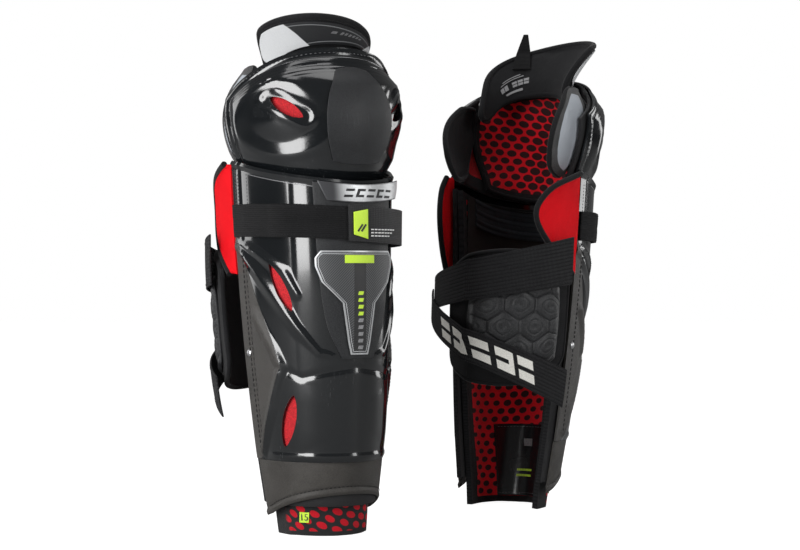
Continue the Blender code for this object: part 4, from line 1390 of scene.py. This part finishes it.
for guard in "ab":
    flap = panel("thigh_flap_pad", guard, "flap", flap_at(guard, 0, 0.4), (100, 40), FLAP - 0.8,
                 [black_brushed, black_brushed, binding_tape])
    settle(flap)
    plump(flap, 0.8)
    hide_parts(f"{guard}_thigh_flap")
    facing = panel("flap_facing_sheet", guard, "flap", flap_at(guard, 5, 1.3 * FLAP + GAP - 0.4),
                   (110, 26), BADGE, [facing_print])
    soften(facing, 0.4)
    settle(facing)
    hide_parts(f"{guard}_flap_facing")
    bind_edge("flap_binding", guard, "flap", flap_at(guard, 0, 0.4 + FLAP / 2),
              binding_tape, 3.2)
    marks_run = []
    for x, z, wide, tall in ((0, 0, 2.0, 5.0), (3.4, 0.2, 2.0, 4.6), (6.8, -0.3, 2.0, 5.0), (10.2, 0, 2.0, 4.6),
                             (13.6, 0.1, 2.0, 5.0), (17.0, 0, 2.0, 4.4), (-6.0, 0, 4.0, 4.0)):
        def mark(across, up, x=x, z=z, wide=wide, tall=tall):
            share = 0.47 + (x + (across - 0.5) * wide + (up - 0.5) * tall * 0.3) / 150
            level = 0.55 + (z + (up - 0.5) * tall) / 34
            return flap_at(guard, 5, 1.3 * FLAP + GAP + BADGE - 0.3)(share, level)
        marks_run.append(mark)
    blocks_on("facing_print_marks", guard, "flap", silver_print_and_painted_highlight, marks_run, 0.2, (2, 3))


# Guard b shows its flap's inside: a printed size label in grey, and a pointed webbing tab to pull it on by.
def flap_label_at(x, z, wide, tall):
    def place(across, up):
        share = 0.70 - (x + (across - 0.5) * wide) / 150
        level = 0.30 + (z + (up - 0.5) * tall) / 60
        return flap_at("b", 0, -0.75)(share, level)
    return place


label_parts = [flap_label_at(-10.5 + 5.2 * k, 3.5, 4.4, 9.0) for k in range(2)]
label_parts += [flap_label_at(5.0 + 6.4 * k, 5.6 - 4.6 * row, 5.4, 3.4) for k in range(3) for row in range(2)]
label_parts += [flap_label_at(2.0, 12.0 + 3.2 * row, 26.0 - 6 * row, 1.2) for row in range(2)]
label_parts += [flap_label_at(2.0, -7.5, 22.0, 3.4)]
blocks_on("flap_size_label", "b", "flap", grey_print, label_parts, 0.25, (5, 4))


def pull_tab(across, up):
    angle = mix(16, 36, across * (1 - 0.8 * up) + 0.2 * up)
    height = mix(FLAP_TOP["b"] - 26, FLAP_TOP["b"] + 14, up)
    peak = np.minimum(height, FLAP_TOP["b"])
    point = on_form(KNEE_FORM, angle, FLAP_FORM, through(FLAP_FLARE, peak) - GAP - 1.4 * STRAP)
    point[..., 2] = height
    return point


tab = panel("pull_tab_webbing", "b", "flap", pull_tab, (16, 30), STRAP - 0.2, [webbing])
soften(tab, 0.5)
settle(tab)
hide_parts("b_flap_pull_tab")


# The calf wrap. A padded black cloth wing folds round the calf from the shin cap's side, with a moulded
# foam pad in hexagons on its back, and two wide elastic straps that cross over it to the other side.
CALF_FORM = np.array([
    (60, LEG_HALF - 12, 60, 90),
    (130, LEG_HALF, 74, 102),
    (220, LEG_HALF + 6, 80, 110),
    (320, LEG_HALF + 6, 80, 108),
])
WRAP_LOW, WRAP_HIGH = 138.0, 276.0
WRAP_WALL = 4.0
PAD_WALL = 5.0
SLACK = (0.80, 1.30)
HEX = 32.0


def calf_at(low_angle, high_angle, low, high, lift):
    """A place rule for a pad on the calf, whose ends are less tall than its middle."""

    def place(across, up):
        angle = mix(high_angle, low_angle, across)
        reach = np.sqrt(np.clip(np.sin(np.pi * np.clip(across, 0, 1)), 0, 1))
        height = mix((low + high) / 2, mix(low, high, up), 0.62 + 0.38 * reach)
        return on_form(CALF_FORM, angle, height, lift, SLACK)

    return place


def hexagons(across, up, wide, tall):
    """The height of a pad moulded in hexagons, each with a groove round it and a hump in its middle."""
    x, z = across * wide / HEX, up * tall / HEX
    nearest = np.full(np.shape(x), 9.0)
    second = np.full(np.shape(x), 9.0)
    middles = []
    for column in range(-1, int(wide / HEX) + 3):
        for row in range(-1, int(tall / HEX / 0.74) + 3):
            middles.append((column + 0.5 * (row % 2), row * 0.74))
    for mx, mz in middles:
        away = np.hypot(x - mx, z - mz)
        second = np.minimum(second, np.maximum(away, nearest))
        nearest = np.minimum(nearest, away)
    border = (second - nearest) * HEX / 2
    groove = 1.5 * ease(0.4, 2.6, border)
    hump = 1.0 * ease(0.26, 0.17, nearest) * (1 - 0.5 * ease(0.12, 0.02, nearest))
    ring = 0.5 * np.exp(-(((border - 5.4) / 1.0) ** 2))
    return groove + hump + ring


def pad_at(lift):
    return calf_at(-114, -180, WRAP_LOW + 12, WRAP_HIGH - 24, lift)


def calf_pad(across, up):
    across, up = rounded(across, up, 0.18)
    flat = pad_at(0)(across, up)
    wide, tall = 92.0, WRAP_HIGH - WRAP_LOW - 36
    edge = np.minimum(np.minimum(across, 1 - across) * wide, np.minimum(up, 1 - up) * tall)
    rise = hexagons(across, up, wide, tall) * ease(1, 6, edge) - 1.6 * ease(5, 0, edge)
    away = pad_at(PAD_WALL + WRAP_WALL + 1.3 * GAP + 7.4)(across, up) - flat
    normal = away / np.linalg.norm(away, axis=-1)[..., None]
    return flat + normal * (WRAP_WALL + 1.3 * GAP + rise[..., None])


def calf_run(start, end, width, lift):
    """A strap from one (angle, height) to another behind the calf, narrower at its far end."""

    def place(across, up):
        angle = mix(end[0], start[0], across)
        height = mix(end[1], start[1], across) + (up - 0.5) * width * mix(0.7, 1, across)
        sag = 0.5 * np.sin(np.pi * up * 2 + across * 5)
        return on_form(CALF_FORM, angle, height, lift + 0.2 * sag, SLACK)

    return place


OVER_PAD = WRAP_WALL + PAD_WALL + 2.5 * GAP
UPPER_RUN = ((-108, WRAP_HIGH - 10), (-244, WRAP_HIGH - 48), 50)
LOWER_RUN = ((-108, WRAP_LOW - 6), (-244, WRAP_LOW + 84), 40)
pad_foam = matte_plastic("black_moulded_foam", (0.014, 0.014, 0.015), (0.034, 0.035, 0.037), 0.44, 900.0)
wide_elastic = plain_cloth(
    "wide_calf_elastic", (0.013, 0.013, 0.014), 1.7, roughness=0.85, rib=0.45, depth=0.9
)
cream_print = plain_cloth(
    "cream_woven_print", (0.62, 0.61, 0.57), 0.9, roughness=0.7, sheen=0.0, depth=0.4, uneven=0.25
)

for guard in "ab":
    wrap = panel("calf_wrap_cloth", guard, "calf",
                 calf_at(-106, -206, WRAP_LOW, WRAP_HIGH, 0.2), (70, 50), WRAP_WALL - 0.6,
                 [black_brushed, black_brushed, binding_tape])
    settle(wrap)
    plump(wrap, 0.6)
    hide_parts(f"{guard}_calf_wrap")
    bind_edge("calf_wrap_binding", guard, "calf",
              calf_at(-106, -206, WRAP_LOW, WRAP_HIGH, WRAP_WALL / 2), binding_tape, 2.6)
    pad = panel("calf_hexagon_pad", guard, "calf", calf_pad, (130, 130), 2.2, [pad_foam])
    soften(pad, 0.8)
    settle(pad, 60)
    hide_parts(f"{guard}_calf_pad")
    upper = panel("upper_calf_elastic", guard, "calf", calf_run(*UPPER_RUN, OVER_PAD),
                  (150, 22), STRAP, [wide_elastic])
    soften(upper, 0.6)
    settle(upper)
    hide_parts(f"{guard}_upper_calf_strap")
    lower_lift = OVER_PAD + STRAP + 1.5 * GAP
    lower = panel("lower_calf_elastic", guard, "calf", calf_run(*LOWER_RUN, lower_lift),
                  (150, 20), STRAP, [wide_elastic])
    soften(lower, 0.6)
    settle(lower)
    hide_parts(f"{guard}_lower_calf_strap")

    bars = []
    for number in range(5):
        left = 0.80 - number * 0.112
        parts = [(0.036, 0.68, 0.082, 0.24), (0.036, 0.32, 0.082, 0.24)]
        if number % 2:
            parts.append((0.0, 0.5, 0.026, 0.58))
        for x, z, wide, tall in parts:
            def bar(across, up, left=left, x=x, z=z, wide=wide, tall=tall):
                level = z + (up - 0.5) * tall
                share = left - x - (0.5 - across) * wide - (level - 0.5) * 0.035
                return calf_run(*LOWER_RUN, lower_lift + STRAP + 0.15)(share, level)

            bars.append(bar)
    blocks_on("lower_strap_blocks", guard, "calf", cream_print, bars, 0.35, (5, 5))
    lime = []
    for row in range(2):
        for k in range(4 + row):
            lime.append(slanted_block(CALF_FORM, -150 + 2.6 * (k - 2), 208 - 5.5 * row, 3.0, 3.4 - 1.6 * row,
                                      WRAP_WALL + PAD_WALL + 1.2 * GAP, 0.3))
    blocks_on("pad_lime_print", guard, "calf", lime_print, lime, 0.35, (3, 3))
    for word, run, lift in (("upper", UPPER_RUN, OVER_PAD), ("lower", LOWER_RUN, lower_lift)):
        for level in (0.08, 0.92):
            share = np.linspace(0.02, 0.98, 260)
            line = calf_run(*run, lift + STRAP)(share, np.full(260, level))
            edge_word = "low" if level < 0.5 else "high"
            stitch_row(f"{word}_calf_strap_{edge_word}_stitch", guard, "calf", line, thread_black,
                       pitch=3.4, length=2.4, radius=0.32)


# The size label on the liner's lower end, in front: a lime patch with the size in plain numbers.
def tail_block(angle, height, wide, tall, slant=0.15, lift=0.9):
    return slanted_block(SHIN_FORM, angle, height, wide, tall, LINER_SINK + LINER + lift, slant)


for guard in "ab":
    blocks_on("tail_size_patch", guard, "shin", lime_print, [tail_block(-52, 18, 17, 10)], 0.4, (8, 6))
    spot = Vector(on_form(SHIN_FORM, -52.0, 18.0, LINER_SINK + LINER + 1.6)) * MM
    outward = Vector(on_form(SHIN_FORM, -52.0, 18.0, 10.0) - on_form(SHIN_FORM, -52.0, 18.0, 0.0))
    facing = outward.to_track_quat("Z", "Y").to_matrix().to_4x4()
    digits = bpy.data.curves.new(f"{guard}_tail_size_numbers", "FONT")
    digits.body = "15"
    digits.size = 0.0095
    digits.extrude = 0.0002
    digits.align_x = "CENTER"
    digits.align_y = "CENTER"
    lettered = bpy.data.objects.new(f"{guard}_number_outline", digits)
    bpy.context.scene.collection.objects.link(lettered)
    bpy.context.view_layer.update()
    cast = bpy.data.meshes.new_from_object(lettered.evaluated_get(bpy.context.evaluated_depsgraph_get()))
    bpy.data.objects.remove(lettered)
    cast.transform(Matrix.Translation(spot) @ facing)
    cast.materials.clear()
    add_piece("tail_size_numbers", cast, guard, "shin", [dark_print])


# The floor, the camera and the studio lights: a plain pale floor, a tall softbox in front on the left and
# one at each side and behind, and an even pale surround that the gloss shells see as darker than it is.
floor_paint, tree, skin = shader("pale_floor", (0.86, 0.86, 0.86), 0.7)
speck = use_group(tree, grain, {"Fineness": 60.0, "Unevenness": 0.02})
tree.links.new(
    blend_colours(tree, speck["Height"], (0.33, 0.33, 0.33), (0.36, 0.36, 0.36)), skin.inputs["Base Color"]
)
skin.inputs["Emission Color"].default_value = (1, 1, 1, 1)
seen = add_node(tree, "ShaderNodeLightPath").outputs["Is Camera Ray"]
tree.links.new(do_math(tree, "MULTIPLY", seen, 0.95), skin.inputs["Emission Strength"])
floor_mesh = bpy.data.meshes.new("floor")
corners = [(-9, -9, -0.0005), (9, -9, -0.0005), (9, 9, -0.0005), (-9, 9, -0.0005)]
floor_mesh.from_pydata(corners, [], [(0, 1, 2, 3)])
floor_mesh.materials.append(floor_paint)
floor = bpy.data.objects.new("floor", floor_mesh)
bpy.context.scene.collection.objects.link(floor)

lens = bpy.data.cameras.new("camera")
lens.lens = 94.0
camera = bpy.data.objects.new("camera", lens)
bpy.context.scene.collection.objects.link(camera)
camera.location = (-0.0135, -2.1545, 0.251)
camera.rotation_euler = (math.radians(90), 0, 0)
bpy.context.scene.camera = camera


def softbox(name, azimuth, distance, height, wide, tall, watts):
    """A rectangular light that faces the guards; azimuth 0 is the camera's side and 90 its right."""
    light = bpy.data.lights.new(name, "AREA")
    light.shape = "RECTANGLE"
    light.size = wide
    light.size_y = tall
    light.energy = watts
    box = bpy.data.objects.new(name, light)
    bpy.context.scene.collection.objects.link(box)
    turn = math.radians(azimuth)
    box.location = (distance * math.sin(turn), -distance * math.cos(turn), height)
    aim = Vector((0, 0, 0.27)) - box.location
    box.rotation_euler = aim.to_track_quat("-Z", "Y").to_euler()


softbox("tall_key", -35, 1.7, 0.62, 0.66, 1.3, 34)
softbox("right_fill", 55, 2.0, 0.7, 0.5, 1.4, 14)
softbox("left_rim", -108, 1.6, 0.6, 0.5, 1.5, 7)
softbox("right_rim", 118, 1.8, 0.6, 0.5, 1.5, 9)
softbox("top", 0, 0.1, 2.1, 1.3, 1.3, 14)

studio = bpy.data.worlds.new("studio")
bpy.context.scene.world = studio
studio.use_nodes = True
tree = studio.node_tree
pale = tree.nodes["Background"]
pale.inputs["Color"].default_value = (1, 1, 1, 1)
rays = add_node(tree, "ShaderNodeLightPath")
kept = do_math(tree, "ADD", 0.14, do_math(tree, "MULTIPLY", rays.outputs["Is Camera Ray"], 0.86))
tree.links.new(kept, pale.inputs["Strength"])
bpy.context.scene.view_settings.view_transform = "Standard"
bpy.context.scene.view_settings.look = "None"
